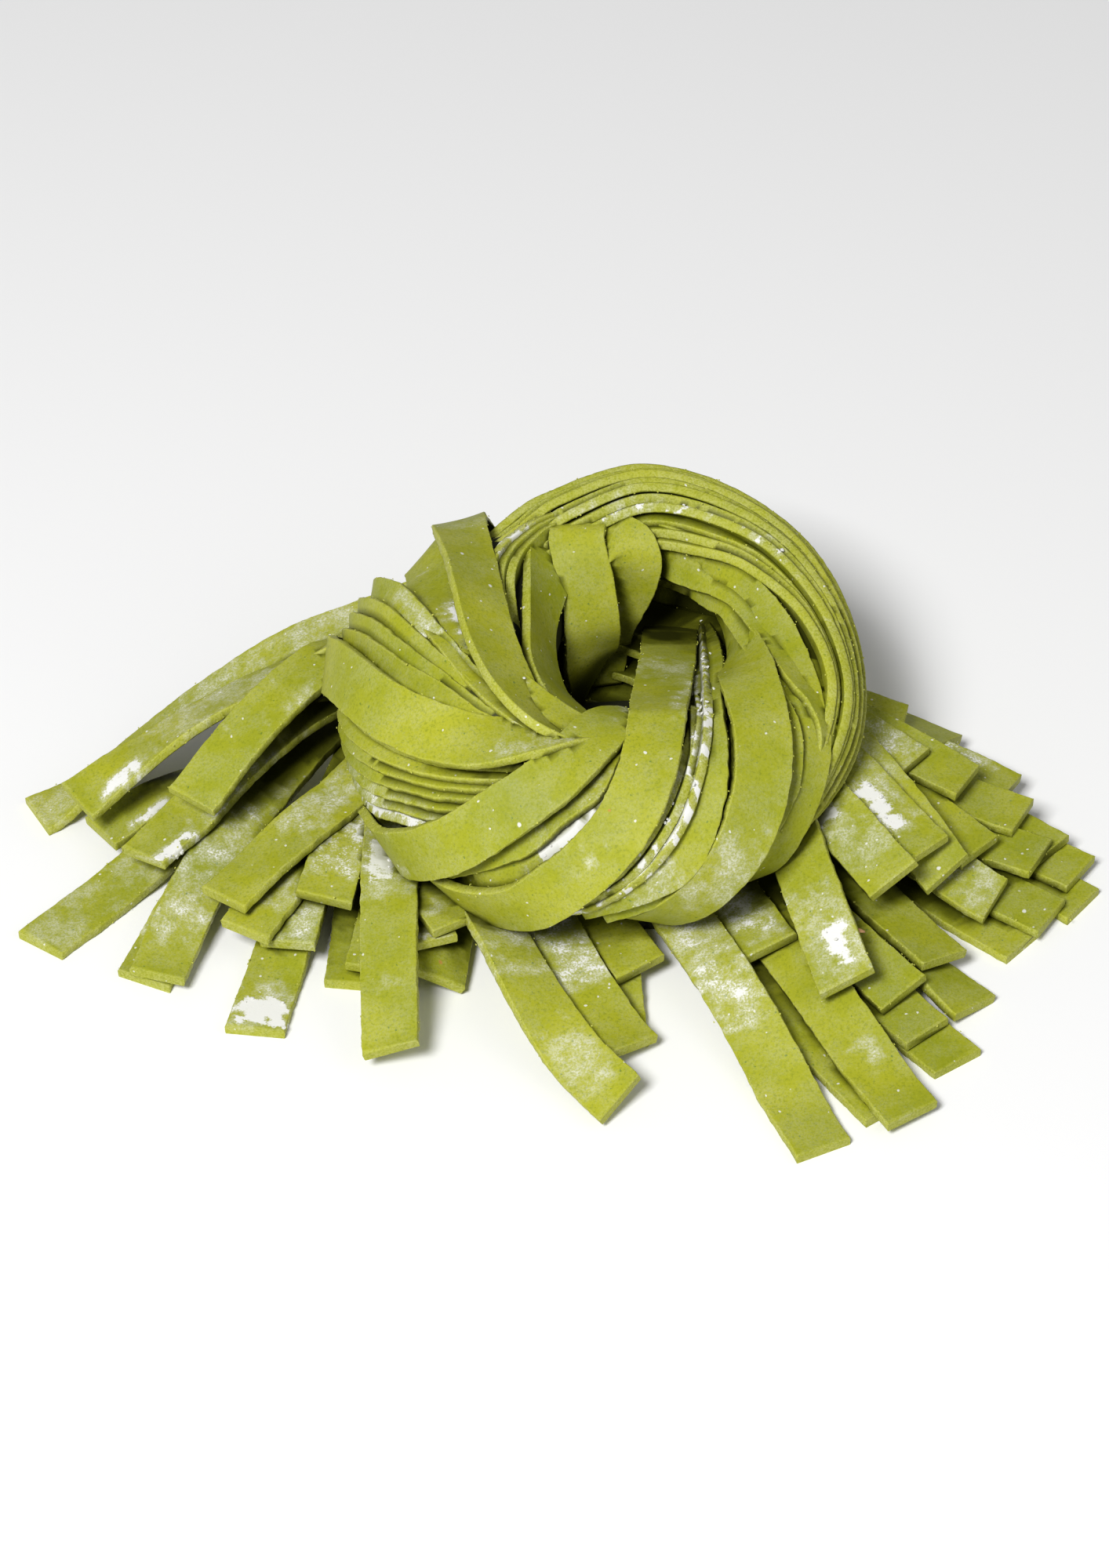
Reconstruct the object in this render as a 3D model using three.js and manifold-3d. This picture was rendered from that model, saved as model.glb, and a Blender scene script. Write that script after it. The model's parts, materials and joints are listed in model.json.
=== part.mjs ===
// A nest of fresh green ribbon pasta, tied as one loose coil with its cut ends fanned out to both sides.
//
// Millimetres, +Z up, the dough rests on z = 0 and the fan opens towards -Y. All places are given
// from the middle of the coil's hole, and the finished nest is moved by NEST_SHIFT at the end, so
// that its origin is under the middle of its bounding box.
//
// The nest is one body: a plain dough core (a ring on a low mound) with the ribbons that show fused
// on. There are two kinds of ribbon:
//   - a band lies on the ring, along points given by their place round the ring and round its tube;
//   - a tail lies on the table: it starts at its cut tip, and its height is settled over the tails
//     laid before it.

import * as THREE from 'three';
import { mergeVertices } from 'three/addons/utils/BufferGeometryUtils.js';
import Module from 'manifold-3d';

// ---------------------------------------------------------------- driving sizes

const RIBBON_WIDTH = 8;
const RIBBON_THICKNESS = 1.4;
const BAND_STEP = 13; // length of one straight piece of a band
const TAIL_STEP = 15; // the same for a tail
const STEP_TWIST = 13; // most degrees that one straight piece turns
const NEST_SHIFT = [12.76, 19.77, 0];

// The coil's tube, every 45 degrees from +X, anticlockwise from above:
// [distance of its middle from the hole, height of its middle, radius]
const RING_STATIONS = [
  [20.8, 25.0, 9.6],
  [21.4, 29.0, 9.0],
  [22.6, 31.5, 9.3],
  [22.5, 27.5, 11.0],
  [26.8, 23.0, 16.6],
  [27.5, 20.0, 17.0],
  [25.5, 19.0, 15.3],
  [22.6, 21.0, 12.2],
];
const CORE_DEPTH = 0.5; // the core ring lies this far under the bands
const CORE_SIDES = [9, 26]; // round the tube, round the ring
const BAND_ROOT = 2.2; // a band that stands on edge goes this deep: the rest would be inside the core
const BURIED_LIFT = -1.6; // ends of bands that lie deeper than this are left out, as they are in the core
const MOUND = { centre: [-3, -4], radii: [40, 29, 13], sides: [18, 7] };

const TUCK_LENGTH = 30; // stretch at a tail's buried end where it bends away under the arch
const TAIL_KEPT = 0.75; // share of the other tails outside the core and the pile
const PILE = { cell: 0.5, low: [-95, -82], size: [170, 130] }; // height field of the pile of tails
const PILE_GAP = 0.3; // air between a tail and what it lies on
const DRAPE = 0.012; // how tightly a tail can bend over an edge, 1/mm
const SMOOTHING_PASSES = 6;
const MAX_ROLL = 4; // most that one edge of a tail stands above the other
const FLOOR_PRESS = 0.15; // the lowest tails are pressed this far flat on the table

// Shares of a tail's length, from its tip
const CLIMB_START = 0.18; // where it starts to climb to its buried end
const LEAVES_PILE = 0.55; // where its own climb starts to take over from what it lies on
const CARRIES = 0.62; // as far as tails laid later can lie on it
const CLIMB_EASE = 0.9; // share of the climb that is eased in and out

const SPLINE_STEPS = 12; // fine steps between two points of a band
const EDGE_SAMPLES = 4; // places from a tail's middle to its edge where the pile is felt
const STAMP_SAMPLES = 32; // places across a tail where the pile is raised
const FEWEST_STEPS = 4; // straight pieces of the shortest ribbon
const WELD = 1e-5; // vertices closer than this are one
const TABLE_SIZE = 400;

const ARCH_RIBBONS = 7;
const ARCH_TILT = 60;
const STEP_RIBBONS = 3;
const LEFT_RIBBONS = 3;

const DOUGH = new THREE.MeshStandardMaterial({ color: 0xb9bb47, roughness: 0.7, metalness: 0 });
DOUGH.name = 'spinach_dough';

// ---------------------------------------------------------------- the ribbons' places

// A point on the ring: u degrees round it, v degrees round its tube (0 outwards, 90 on top,
// 180 towards the hole), and how far the ribbon stands off the tube.
const on = (u, v, lift = 0) => ({ on: [u, v, lift] });
// A free point, with the direction from it into the dough.
const at = (x, y, z, inward = [0, 0, -10]) => ({ at: [x, y, z], inward });

// The points of a ribbon a share of the way between two guides, which have the same kinds of point.
function between(guideA, guideB, share) {
  const mix = (a, b) => a.map((value, i) => value + (b[i] - value) * share);
  return guideA.map((a, i) => ({ on: mix(a.on, guideB[i].on) }));
}

// Each band: its points, its tilt along them in degrees, and the side of the points on which its
// body lies: 0 across both sides, otherwise the points are its free edge and its other edge
// dives under the next band.
function bands() {
  const list = [];
  const band = (points, tilt, side = 0) => {
    const rootWidth = BAND_ROOT / Math.sin(THREE.MathUtils.degToRad(Math.min(...tilt)));
    const width = side === 0 ? RIBBON_WIDTH : Math.min(RIBBON_WIDTH, rootWidth);
    list.push({ points, tilt, side, width });
  };

  // the arch: ribbons on edge, side by side, from the hole's edge to the outer foot of the coil
  const archTop = [
    on(166, 112, -6), on(150, 128, -4), on(136, 146, -1.5), on(120, 150, -0.2), on(90, 142),
    on(45, 115), on(0, 80), on(-25, 50), on(-50, 20, -1), on(-70, -10, -2),
  ];
  const archFoot = [
    on(166, -46, -6), on(150, -50, -4), on(136, -53, -1.5), on(120, -55, -0.2), on(90, -57),
    on(45, -60), on(0, -62), on(-25, -64), on(-45, -68, -1), on(-65, -76, -2),
  ];
  for (let i = 0; i < ARCH_RIBBONS; i += 1) {
    band(between(archTop, archFoot, i / (ARCH_RIBBONS - 1)), [ARCH_TILT], -1);
  }

  // wide bands from the hole over the right side
  band([
    on(100, 197, -2), on(88, 194, -0.6), on(72, 188, 0.4), on(28, 152, 0.4), on(0, 130, 0.4),
    on(-20, 108, 0.3), on(-32, 86, 0.2), on(-36, 62, 0.2), on(-40, 42), on(-46, 25, -1),
  ], [8, 8, 8, 8, 10, 14, 18, 24], -1);
  band([
    on(62, 190, -1), on(46, 178, -0.8), on(12, 150, -0.8), on(-12, 120, -1), on(-30, 88, -1),
    on(-38, 66, -0.8), on(-43, 48, -0.8), on(-50, 30, -0.8), on(-58, 10, -0.8), on(-64, -10, -1),
  ], [0]);
  band([
    on(20, 170, -0.5), on(-8, 134), on(-27, 104, 0.2), on(-38, 83, 0.3), on(-43, 62, 0.3),
    on(-47, 48, 0.3), on(-51, 35, 0.3), on(-56, 22, 0.2), on(-63, 7), on(-70, -16, -1),
  ], [30, 28, 26, 24], 1);
  band([
    on(34, 172, -0.5), on(14, 160, 0.2), on(-14, 140, 0.6), on(-43, 105, 0.9), on(-53, 83, 0.9),
    on(-58, 66, 0.9), on(-63, 47, 0.9), on(-69, 25, 0.7), on(-75, 6, 0.3), on(-82, -14, -0.3),
  ], [0]);

  // the front: bands that rise out of the hole and turn down to the left
  band([
    on(0, 150, -3), on(-50, 115, -2), on(-62, 88, -1.6), on(-68, 62, -1.5), on(-73, 38, -1),
    on(-80, 15, -0.6), on(-90, -8), on(-100, -22),
  ], [50, 50, 40, 20], 1);
  band([
    at(9.5, 22, 14), at(11.5, 11, 20.5), on(-42, 128, 0.2), on(-60, 102, 0.6), on(-70, 73, 0.8),
    on(-76, 45, 0.8), on(-80, 25, 0.8), on(-86, 10, 0.8), on(-92, -2, 0.6), on(-102, -18, 0.2),
  ], [10, 14, 16, 16, 14], 1);
  band([
    at(9, 22, 15), at(10, 11, 21), on(-47, 133, 0.4), on(-67, 98, 0.9), on(-78, 70, 0.9),
    on(-82, 49, 0.9), on(-87, 30, 1.2), on(-93, 14, 1.2), on(-102, -5, 0.8), on(-112, -22),
  ], [66], 1);
  band([
    at(4.2, 25, 12.5), at(4, 16, 17.5), at(3.2, 2, 24), on(274, 110, 1.3), on(272, 90, 1.6),
    on(269, 63, 1.7), on(265, 42, 1.7), on(260, 25, 1.7), on(254, 9, 1.6), on(247, -9, 1.2),
    on(238, -22, 0.6), on(229, -30), on(220, -42, -1.6),
  ], [0, 0, -3, -4, -2, 0]);
  band([
    at(1.5, 10, 17), at(0.5, 1, 24), on(263, 118, 0.8), on(257, 92, 1), on(252, 70, 1.1),
    on(247, 52, 1.2), on(241, 35, 1.3), on(235, 18, 1.5), on(228, 2, 2.1), on(219, -14, 2.4),
    on(208, -30, 0.5),
  ], [0, 0, 0, 2, 0]);
  band([
    at(-1, 2, 23), on(264, 104, 0.2), on(262, 74, 0.4), on(259, 54, 0.4), on(253, 39, 0.4),
    on(248, 22, 0.4), on(241, 7, 0.3), on(231, -16),
  ], [20, 22, 24, 20], 1);
  band([
    on(264, 100, -0.6), on(263, 72, -0.4), on(260, 47, -0.4), on(258, 32, -0.3), on(253, 17, -0.3),
    on(248, 4, -0.3), on(240, -10, -0.3), on(230, -26, -0.6),
  ], [14], 1);

  // narrow steps under them, along the left foot of the coil
  const stepTop = [
    on(246, 66, -1), on(238, 58, -0.2), on(229, 49, 0.2), on(220, 40, 0.3), on(209, 30, 0.3),
    on(197, 19, 0.2), on(184, 3), on(172, -20, -0.5), on(160, -46, -1),
  ];
  const stepFoot = [
    on(242, 30, -1), on(235, 24, -0.2), on(227, 16), on(219, 8), on(211, -4), on(202, -15),
    on(192, -28, -0.2), on(182, -44, -0.5), on(172, -62, -1),
  ];
  for (let i = 0; i < STEP_RIBBONS; i += 1) {
    band(between(stepTop, stepFoot, i / (STEP_RIBBONS - 1)), [50, 42, 36, 34, 34], 1);
  }

  // the left side: bands that leave the hole, cross the top and go down the outside
  band([
    on(252, 90, -2.4), on(247, 84, -1), on(240, 74, 0.2), on(230, 60, 0.9), on(220, 52, 1.3),
    on(210, 45, 1.6), on(200, 38, 1.6), on(190, 27, 1.6), on(182, 12, 1.5), on(175, -5, 1.2),
    on(168, -25, 0.8), on(162, -50, 0.4), on(156, -80, -1),
  ], [-44, -20, 0, 4, 2, 0, 0]);
  const leftFirst = [
    on(246, 80, -2.4), on(236, 77, -0.6), on(224, 73, 0.3), on(212, 70, 0.5), on(200, 60, 0.7),
    on(188, 46, 1), on(178, 25, 1.4), on(170, 3, 1.2), on(162, -26, 0.6), on(155, -60, -0.6),
  ];
  const leftLast = [
    on(250, 90, -2.4), on(238, 88, -0.4), on(224, 88, 0.5), on(210, 87, 0.8), on(193, 80, 0.8),
    on(178, 64, 1.2), on(168, 38, 1.6), on(160, 10, 1.4), on(151, -25, 0.8), on(144, -60, -0.6),
  ];
  for (let i = 0; i < LEFT_RIBBONS; i += 1) {
    band(between(leftFirst, leftLast, i / (LEFT_RIBBONS - 1)), [40, 30, 24, 22, 24], -1);
  }
  band([
    on(248, 90, -2), on(238, 90, -1), on(228, 91, -0.6), on(215, 92, -0.5), on(200, 90, -0.5),
    on(188, 85, -0.3), on(177, 78, -0.2), on(164, 60, 0.4), on(153, 30, 1.2), on(146, -10, 1.4),
    on(140, -46, 1), on(135, -80),
  ], [0]);
  band([
    on(250, 93, -2), on(238, 96, -0.3), on(224, 102, 0.9), on(204, 109, 1.3), on(186, 106, 1.4),
    on(170, 94, 1.5), on(156, 70, 1.6), on(147, 42, 2), on(140, 8, 2.4), on(134, -30, 2.4),
    at(-21, 29, 9, [2, -10, 2]), at(-17, 27, 1.2, [2, -10, 2]),
  ], [-50, -30, -14, 0, 4, 2, 0, 0]);
  band([
    on(212, 134, -3), on(188, 127, -2), on(170, 118, -0.8), on(155, 105, -0.2), on(144, 82),
    on(137, 55), on(131, 20, -1),
  ], [64], 1);

  // three bands at the back of the hole that fold over and down inside the arch
  band([
    on(252, 96, -2), on(243, 98, -0.8), on(232, 107, -0.4), on(212, 120), on(183, 129, 0.2),
    on(158, 120, 0.2), on(144, 105, -0.5), on(135, 88, -3), on(128, 60, -6),
  ], [50, 40, 24, 18, 20], 1);
  band([
    at(-9, 9, 10, [-6, 8, -2]), at(-8.5, 10, 18, [-6, 8, -3]), at(-8, 11, 25, [-6, 8, -4]),
    on(143, 152, 0.4), on(134, 136, 0.6), on(127, 116), on(123, 98, -2.2), on(122, 76, -5),
    on(122, 50, -7),
  ], [8, 4, 0, 0]);
  band([
    at(-7, 11, 10, [-1, 10, -1]), at(-3.5, 12.7, 20, [-1, 10, -2]), at(-2, 13.3, 28, [-1, 10, -4]),
    on(100, 153, 1.6), on(98, 137, 1.2), on(103, 120, -1), on(110, 100, -3.5), on(114, 70, -6),
  ], [0, 0, -6, -4]);
  return list;
}

// The tails, in the order in which they were laid: tip x and y, heading at the tip (buried end to
// tip) in degrees, turn of the heading towards the buried end, length, height of the buried end,
// and the further turn of those that bend round under the arch.
const TAILS = [
  // the left fan
  [-85, -32, -130, -8, 62, 7], [-70, -39, -110, -10, 52, 5], [-68, -40, -105, -22, 56, 8],
  [-41, -40, -95, 0, 32, 4], [-29, -41, -95, -6, 30, 4], [-54, -49, -100, -10, 56, 4],
  [-30, -38, -70, -26, 28, 5], [-26, -36, -55, -40, 28, 6], [-45, -31, -100, -16, 40, 11],
  [-78, -12, -145, -16, 60, 18], [-88, -5, -150, -18, 70, 24], [-71, -21, -130, -16, 56, 18],
  [-81, -11, -145, -22, 66, 27], [-59, -31, -130, 0, 46, 14], [-64, -17, -130, -6, 48, 20],
  [-35, -56, -87, -4, 46, 9],
  // the front
  [-1, -40, -60, -14, 24, 4], [-7, -55, -55, -30, 38, 5], [-2, -54, -52, -30, 38, 6],
  [-4, -64, -47, -36, 50, 7],
  // the right fan
  [32, -64, -55, -6, 50, 3], [42, -55, -50, -8, 52, 3], [38, -51, -50, -10, 48, 4],
  [45, -45, -47, -10, 50, 5], [35, -46, -50, -10, 44, 6], [41, -39, -50, -8, 46, 7],
  [35, -66, -60, -4, 58, 2], [53, -32, -40, -8, 58, 5], [62, -24, -40, -2, 100, 2, 60],
  [62, -19, -35, -2, 100, 4, 65], [57, -28, -35, -8, 60, 7], [58, -16, -40, 4, 94, 6, 65],
  [56, -19, -25, -16, 90, 8, 70], [53, -4, -30, 4, 82, 10, 60], [54, -12, -25, -12, 86, 12, 65],
  [49, -27, -35, -8, 60, 11], [47, -21, -45, -6, 84, 14, 65], [45, 6, -30, 6, 72, 16, 60],
  [38, 5, -15, -12, 66, 20, 60], [46, -9, -35, -2, 74, 18, 60], [38, -8, -40, -2, 64, 19, 60],
  [17, -39, -65, -8, 32, 8], [42, -27, -55, -10, 44, 13], [39, -27, -50, -14, 42, 14],
  [34, -33, -55, -6, 38, 12], [27, -48, -72, -6, 44, 10], [23, -71, -66, 2, 54, 6],
];

// ---------------------------------------------------------------- the coil's tube

const ringCurve = new THREE.CatmullRomCurve3(
  RING_STATIONS.map((station) => new THREE.Vector3(...station)), true, 'catmullrom',
);

// The point at u, v and the tube's middle beside it.
function tubeAt(u, v, lift) {
  const { x: reach, y: height, z: radius } = ringCurve.getPoint((((u % 360) + 360) % 360) / 360);
  const around = THREE.MathUtils.degToRad(u);
  const across = THREE.MathUtils.degToRad(v);
  const outward = new THREE.Vector3(Math.cos(around), Math.sin(around), 0);
  const heart = outward.clone().multiplyScalar(reach).setZ(height);
  const point = heart.clone().addScaledVector(outward, (radius + lift) * Math.cos(across));
  point.z += (radius + lift) * Math.sin(across);
  return { point, heart };
}

// ---------------------------------------------------------------- ribbons

// A curve that carries the ribbon's own directions: wide across it and out of its face.
class RibbonPath extends THREE.Curve {
  constructor(samples) {
    super();
    this.samples = samples; // evenly spaced: { point, wide }
    this.arcLengthDivisions = 4 * samples.length;
  }

  sampleAt(t) {
    const x = THREE.MathUtils.clamp(t, 0, 1) * (this.samples.length - 1);
    const i = Math.min(Math.floor(x), this.samples.length - 2);
    return [this.samples[i], this.samples[i + 1], x - i];
  }

  getPoint(t, target = new THREE.Vector3()) {
    const [a, b, share] = this.sampleAt(t);
    return target.lerpVectors(a.point, b.point, share);
  }

  // How far it twists about its own length in all, in degrees.
  twist() {
    const turns = this.samples.slice(1).map((sample, i) => {
      const before = this.samples[i];
      const along = sample.point.clone().sub(before.point).normalize();
      return before.wide.clone().projectOnPlane(along).angleTo(sample.wide.clone().projectOnPlane(along));
    });
    return THREE.MathUtils.radToDeg(turns.reduce((sum, turn) => sum + turn, 0));
  }

  computeFrenetFrames(segments) {
    const tangents = [];
    const normals = [];
    const binormals = [];
    for (let i = 0; i <= segments; i += 1) {
      const [a, b, share] = this.sampleAt(i / segments);
      const before = this.getPoint((i - 0.5) / segments);
      const tangent = this.getPoint((i + 0.5) / segments).sub(before).normalize();
      const wide = new THREE.Vector3().lerpVectors(a.wide, b.wide, share);
      wide.addScaledVector(tangent, -wide.dot(tangent)).normalize();
      tangents.push(tangent);
      normals.push(wide);
      binormals.push(new THREE.Vector3().crossVectors(tangent, wide));
    }
    return { tangents, normals, binormals };
  }
}

// Points on a Catmull-Rom spline through rows of numbers, at t from 0 to rows.length - 1.
function splineRow(rows, t) {
  const i = Math.min(Math.floor(t), rows.length - 2);
  const f = t - i;
  const last = rows.length - 1;
  const ahead = (a, b) => a.map((value, k) => 2 * value - b[k]);
  const p0 = i > 0 ? rows[i - 1] : ahead(rows[0], rows[1]);
  const p3 = i + 2 <= last ? rows[i + 2] : ahead(rows[last], rows[last - 1]);
  const [p1, p2] = [rows[i], rows[i + 1]];
  return p1.map((b, k) => {
    const [a, c, d] = [p0[k], p2[k], p3[k]];
    const [linear, square, cube] = [c - a, 2 * a - 5 * b + 4 * c - d, 3 * b - a - 3 * c + d];
    return 0.5 * (2 * b + linear * f + square * f * f + cube * f ** 3);
  });
}

function numberAt(list, share) {
  const x = share * (list.length - 1);
  const i = Math.min(Math.floor(x), Math.max(list.length - 2, 0));
  return list[i] + ((list[i + 1] ?? list[i]) - list[i]) * (x - i);
}

function freePoint({ at: place, inward }) {
  const point = new THREE.Vector3(...place);
  return { point, heart: new THREE.Vector3(...inward).add(point) };
}

// The path of a band on the ring.
function bandPath({ points, tilt, side, width }) {
  const rows = points.map((place, i) => {
    const { point, heart } = place.on ? tubeAt(...place.on) : freePoint(place);
    const lift = place.on ? place.on[2] : 0;
    return [...point.toArray(), ...heart.toArray(), numberAt(tilt, i / (points.length - 1)), lift];
  });
  const count = SPLINE_STEPS * (rows.length - 1);
  const fine = Array.from({ length: count + 1 }, (_, i) => splineRow(rows, i / SPLINE_STEPS));
  const spots = fine.map((row) => new THREE.Vector3(row[0], row[1], row[2]));
  const samples = fine.map((row, i) => {
    const tangent = spots[Math.min(i + 1, count)].clone().sub(spots[Math.max(i - 1, 0)]).normalize();
    const out = spots[i].clone().sub(new THREE.Vector3(row[3], row[4], row[5]));
    out.addScaledVector(tangent, -out.dot(tangent)).normalize();
    const across = new THREE.Vector3().crossVectors(tangent, out);
    const angle = THREE.MathUtils.degToRad(row[6]);
    const wide = side === 0
      ? across.multiplyScalar(Math.cos(angle)).addScaledVector(out, Math.sin(angle))
      : across.multiplyScalar(side * Math.cos(angle)).addScaledVector(out, -Math.sin(angle));
    const point = spots[i].clone();
    if (side !== 0) {
      const face = new THREE.Vector3().crossVectors(tangent, wide);
      face.multiplyScalar(Math.sign(face.dot(out)) || 1);
      point.addScaledVector(wide, width / 2).addScaledVector(face, -RIBBON_THICKNESS / 2);
    }
    return { point, wide, shows: row[7] > BURIED_LIFT };
  });
  const first = samples.findIndex((sample) => sample.shows);
  const last = samples.findLastIndex((sample) => sample.shows);
  return new RibbonPath(samples.slice(first, last + 1));
}

// ---------------------------------------------------------------- the pile of tails

const [pileColumns, pileRows] = PILE.size.map((length) => Math.round(length / PILE.cell));
const pileHeights = new Float64Array(pileColumns * pileRows);

function pileCell(x, y) {
  const column = THREE.MathUtils.clamp(Math.round((x - PILE.low[0]) / PILE.cell), 0, pileColumns - 1);
  const row = THREE.MathUtils.clamp(Math.round((y - PILE.low[1]) / PILE.cell), 0, pileRows - 1);
  return column * pileRows + row;
}

const smoothstep = (x) => {
  const f = THREE.MathUtils.clamp(x, 0, 1);
  return f * f * (3 - 2 * f);
};

// The height at which one edge of a tail lies over the heights found under it.
function drape(under, slope, step) {
  const held = under.map((height, i) => Math.max(height > 0 ? height + PILE_GAP : 0, slope[i]));
  const over = (j, i) => held[j] - DRAPE * ((i - j) * step) ** 2;
  let lying = held.map((_, i) => Math.max(...held.map((height, j) => over(j, i))));
  for (let pass = 0; pass < SMOOTHING_PASSES; pass += 1) {
    const before = lying;
    const near = (i) => before[THREE.MathUtils.clamp(i, 0, before.length - 1)];
    lying = before.map((height, i) => Math.max(0, (near(i - 1) + 2 * height + near(i + 1)) / 4));
  }
  return lying;
}

// The path of a tail from its tip, settled on the pile; its visible part is then added to the pile.
function tailPath([x, y, heading, turn, length, buriedHeight, tuck = 0]) {
  const count = Math.floor(length);
  const step = length / count;
  const stations = Array.from({ length: count + 1 }, (_, i) => i * step);
  const headings = stations.map((s) => {
    const tucked = THREE.MathUtils.clamp((s - length + TUCK_LENGTH) / TUCK_LENGTH, 0, 1);
    return THREE.MathUtils.degToRad(heading + (turn * s) / length + tuck * tucked);
  });
  const spots = [[x, y]];
  for (let i = 1; i <= count; i += 1) {
    const [px, py] = spots[i - 1];
    const dx = (Math.cos(headings[i - 1]) + Math.cos(headings[i])) / 2;
    const dy = (Math.sin(headings[i - 1]) + Math.sin(headings[i])) / 2;
    spots.push([px - dx * step, py - dy * step]);
  }
  const beside = (i, offset) => [
    spots[i][0] - Math.sin(headings[i]) * offset,
    spots[i][1] + Math.cos(headings[i]) * offset,
  ];
  const heightsUnder = (from, to) => stations.map((_, i) => {
    let highest = 0;
    for (let k = from; k <= to; k += 1) {
      const [px, py] = beside(i, (k * RIBBON_WIDTH) / (2 * EDGE_SAMPLES));
      highest = Math.max(highest, pileHeights[pileCell(px, py)]);
    }
    return highest;
  });
  const slope = stations.map((s) => {
    const f = THREE.MathUtils.clamp((s / length - CLIMB_START) / (1 - CLIMB_START), 0, 1);
    return buriedHeight * THREE.MathUtils.lerp(f, smoothstep(f), CLIMB_EASE);
  });
  const right = drape(heightsUnder(-EDGE_SAMPLES, 0), slope, step);
  const left = drape(heightsUnder(0, EDGE_SAMPLES), slope, step);
  const edges = stations.map((s, i) => {
    const top = Math.max(left[i], right[i]);
    const low = Math.max(Math.min(left[i], right[i]), top - MAX_ROLL);
    const buried = smoothstep((s / length - LEAVES_PILE) / (1 - LEAVES_PILE));
    const settled = (height) => height * (1 - buried) + slope[i] * buried;
    return right[i] > left[i] ? [settled(top), settled(low)] : [settled(low), settled(top)];
  });
  // raise the pile under the part that shows
  for (let i = 0; i < count * CARRIES; i += 1) {
    for (let k = 0; k <= STAMP_SAMPLES; k += 1) {
      const share = k / STAMP_SAMPLES;
      const [ax, ay] = beside(i, (share - 0.5) * RIBBON_WIDTH);
      const [bx, by] = beside(i + 1, (share - 0.5) * RIBBON_WIDTH);
      const height = (j) => edges[j][0] * (1 - share) + edges[j][1] * share + RIBBON_THICKNESS;
      const here = pileCell(ax, ay);
      const halfway = pileCell((ax + bx) / 2, (ay + by) / 2);
      pileHeights[here] = Math.max(pileHeights[here], height(i));
      pileHeights[halfway] = Math.max(pileHeights[halfway], (height(i) + height(i + 1)) / 2);
    }
  }
  const kept = tuck > 0 ? count : Math.round(count * TAIL_KEPT);
  return new RibbonPath(edges.slice(0, kept + 1).map(([rightEdge, leftEdge], i) => {
    const middle = (rightEdge + leftEdge + RIBBON_THICKNESS) / 2 - FLOOR_PRESS;
    const rise = (leftEdge - rightEdge) / RIBBON_WIDTH;
    return {
      point: new THREE.Vector3(...spots[i], middle),
      wide: new THREE.Vector3(-Math.sin(headings[i]), Math.cos(headings[i]), rise).normalize(),
    };
  }));
}

// ---------------------------------------------------------------- solids

const wasm = await Module();
wasm.setup();

function solidOf(geometry) {
  const bare = geometry.clone();
  bare.deleteAttribute('normal');
  bare.deleteAttribute('uv');
  const merged = mergeVertices(bare, WELD);
  return new wasm.Manifold(new wasm.Mesh({
    numProp: 3,
    vertProperties: new Float32Array(merged.getAttribute('position').array),
    triVerts: new Uint32Array(merged.getIndex().array),
  }));
}

function ribbonSolid(path, width, step) {
  const [w, t] = [width / 2, RIBBON_THICKNESS / 2];
  const section = new THREE.Shape([
    new THREE.Vector2(-w, -t), new THREE.Vector2(w, -t), new THREE.Vector2(w, t), new THREE.Vector2(-w, t),
  ]);
  const steps = Math.max(
    FEWEST_STEPS, Math.round(path.getLength() / step), Math.ceil(path.twist() / STEP_TWIST),
  );
  return solidOf(new THREE.ExtrudeGeometry(section, { steps, extrudePath: path, bevelEnabled: false }));
}

// The core ring: a torus whose every vertex is moved to its place on the coil's own tube.
function coreRing() {
  const [sides, turns] = CORE_SIDES;
  const geometry = new THREE.TorusGeometry(1, 0.5, sides, turns);
  const position = geometry.getAttribute('position');
  for (let j = 0; j <= sides; j += 1) {
    for (let i = 0; i <= turns; i += 1) {
      const { point } = tubeAt((360 * (i % turns)) / turns, (360 * (j % sides)) / sides, -CORE_DEPTH);
      position.setXYZ(j * (turns + 1) + i, point.x, point.y, point.z);
    }
  }
  return solidOf(geometry);
}

function mound() {
  const geometry = new THREE.SphereGeometry(1, ...MOUND.sides);
  geometry.rotateX(Math.PI / 2);
  geometry.scale(...MOUND.radii);
  geometry.translate(...MOUND.centre, 0);
  return solidOf(geometry);
}

function belowTable() {
  return solidOf(
    new THREE.BoxGeometry(TABLE_SIZE, TABLE_SIZE, TABLE_SIZE).translate(0, 0, -TABLE_SIZE / 2),
  );
}

// The nest's outer skin. Loose scraps and the walls of sealed hollows are separate pieces, smaller
// than the skin, so they are left out and the hollows are filled.
function outerSkin(solid) {
  const pieces = solid.decompose().sort((a, b) => Math.abs(b.volume()) - Math.abs(a.volume()));
  return pieces[0];
}

function toGeometry(solid) {
  const mesh = solid.getMesh();
  const geometry = new THREE.BufferGeometry();
  geometry.setAttribute('position', new THREE.BufferAttribute(new Float32Array(mesh.vertProperties), 3));
  geometry.setIndex(new THREE.BufferAttribute(new Uint32Array(mesh.triVerts), 1));
  geometry.computeVertexNormals();
  return geometry;
}

function pastaNest() {
  const ribbons = [
    ...bands().map((band) => ribbonSolid(bandPath(band), band.width, BAND_STEP)),
    ...TAILS.map((tail) => ribbonSolid(tailPath(tail), RIBBON_WIDTH, TAIL_STEP)),
  ];
  const whole = wasm.Manifold.union([coreRing(), mound(), ...ribbons]).subtract(belowTable());
  const geometry = toGeometry(outerSkin(whole));
  geometry.translate(...NEST_SHIFT);
  const nest = new THREE.Mesh(geometry, DOUGH);
  nest.name = 'pasta_nest';
  return nest;
}

const part = new THREE.Group();
part.add(pastaNest());

export default part;
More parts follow.
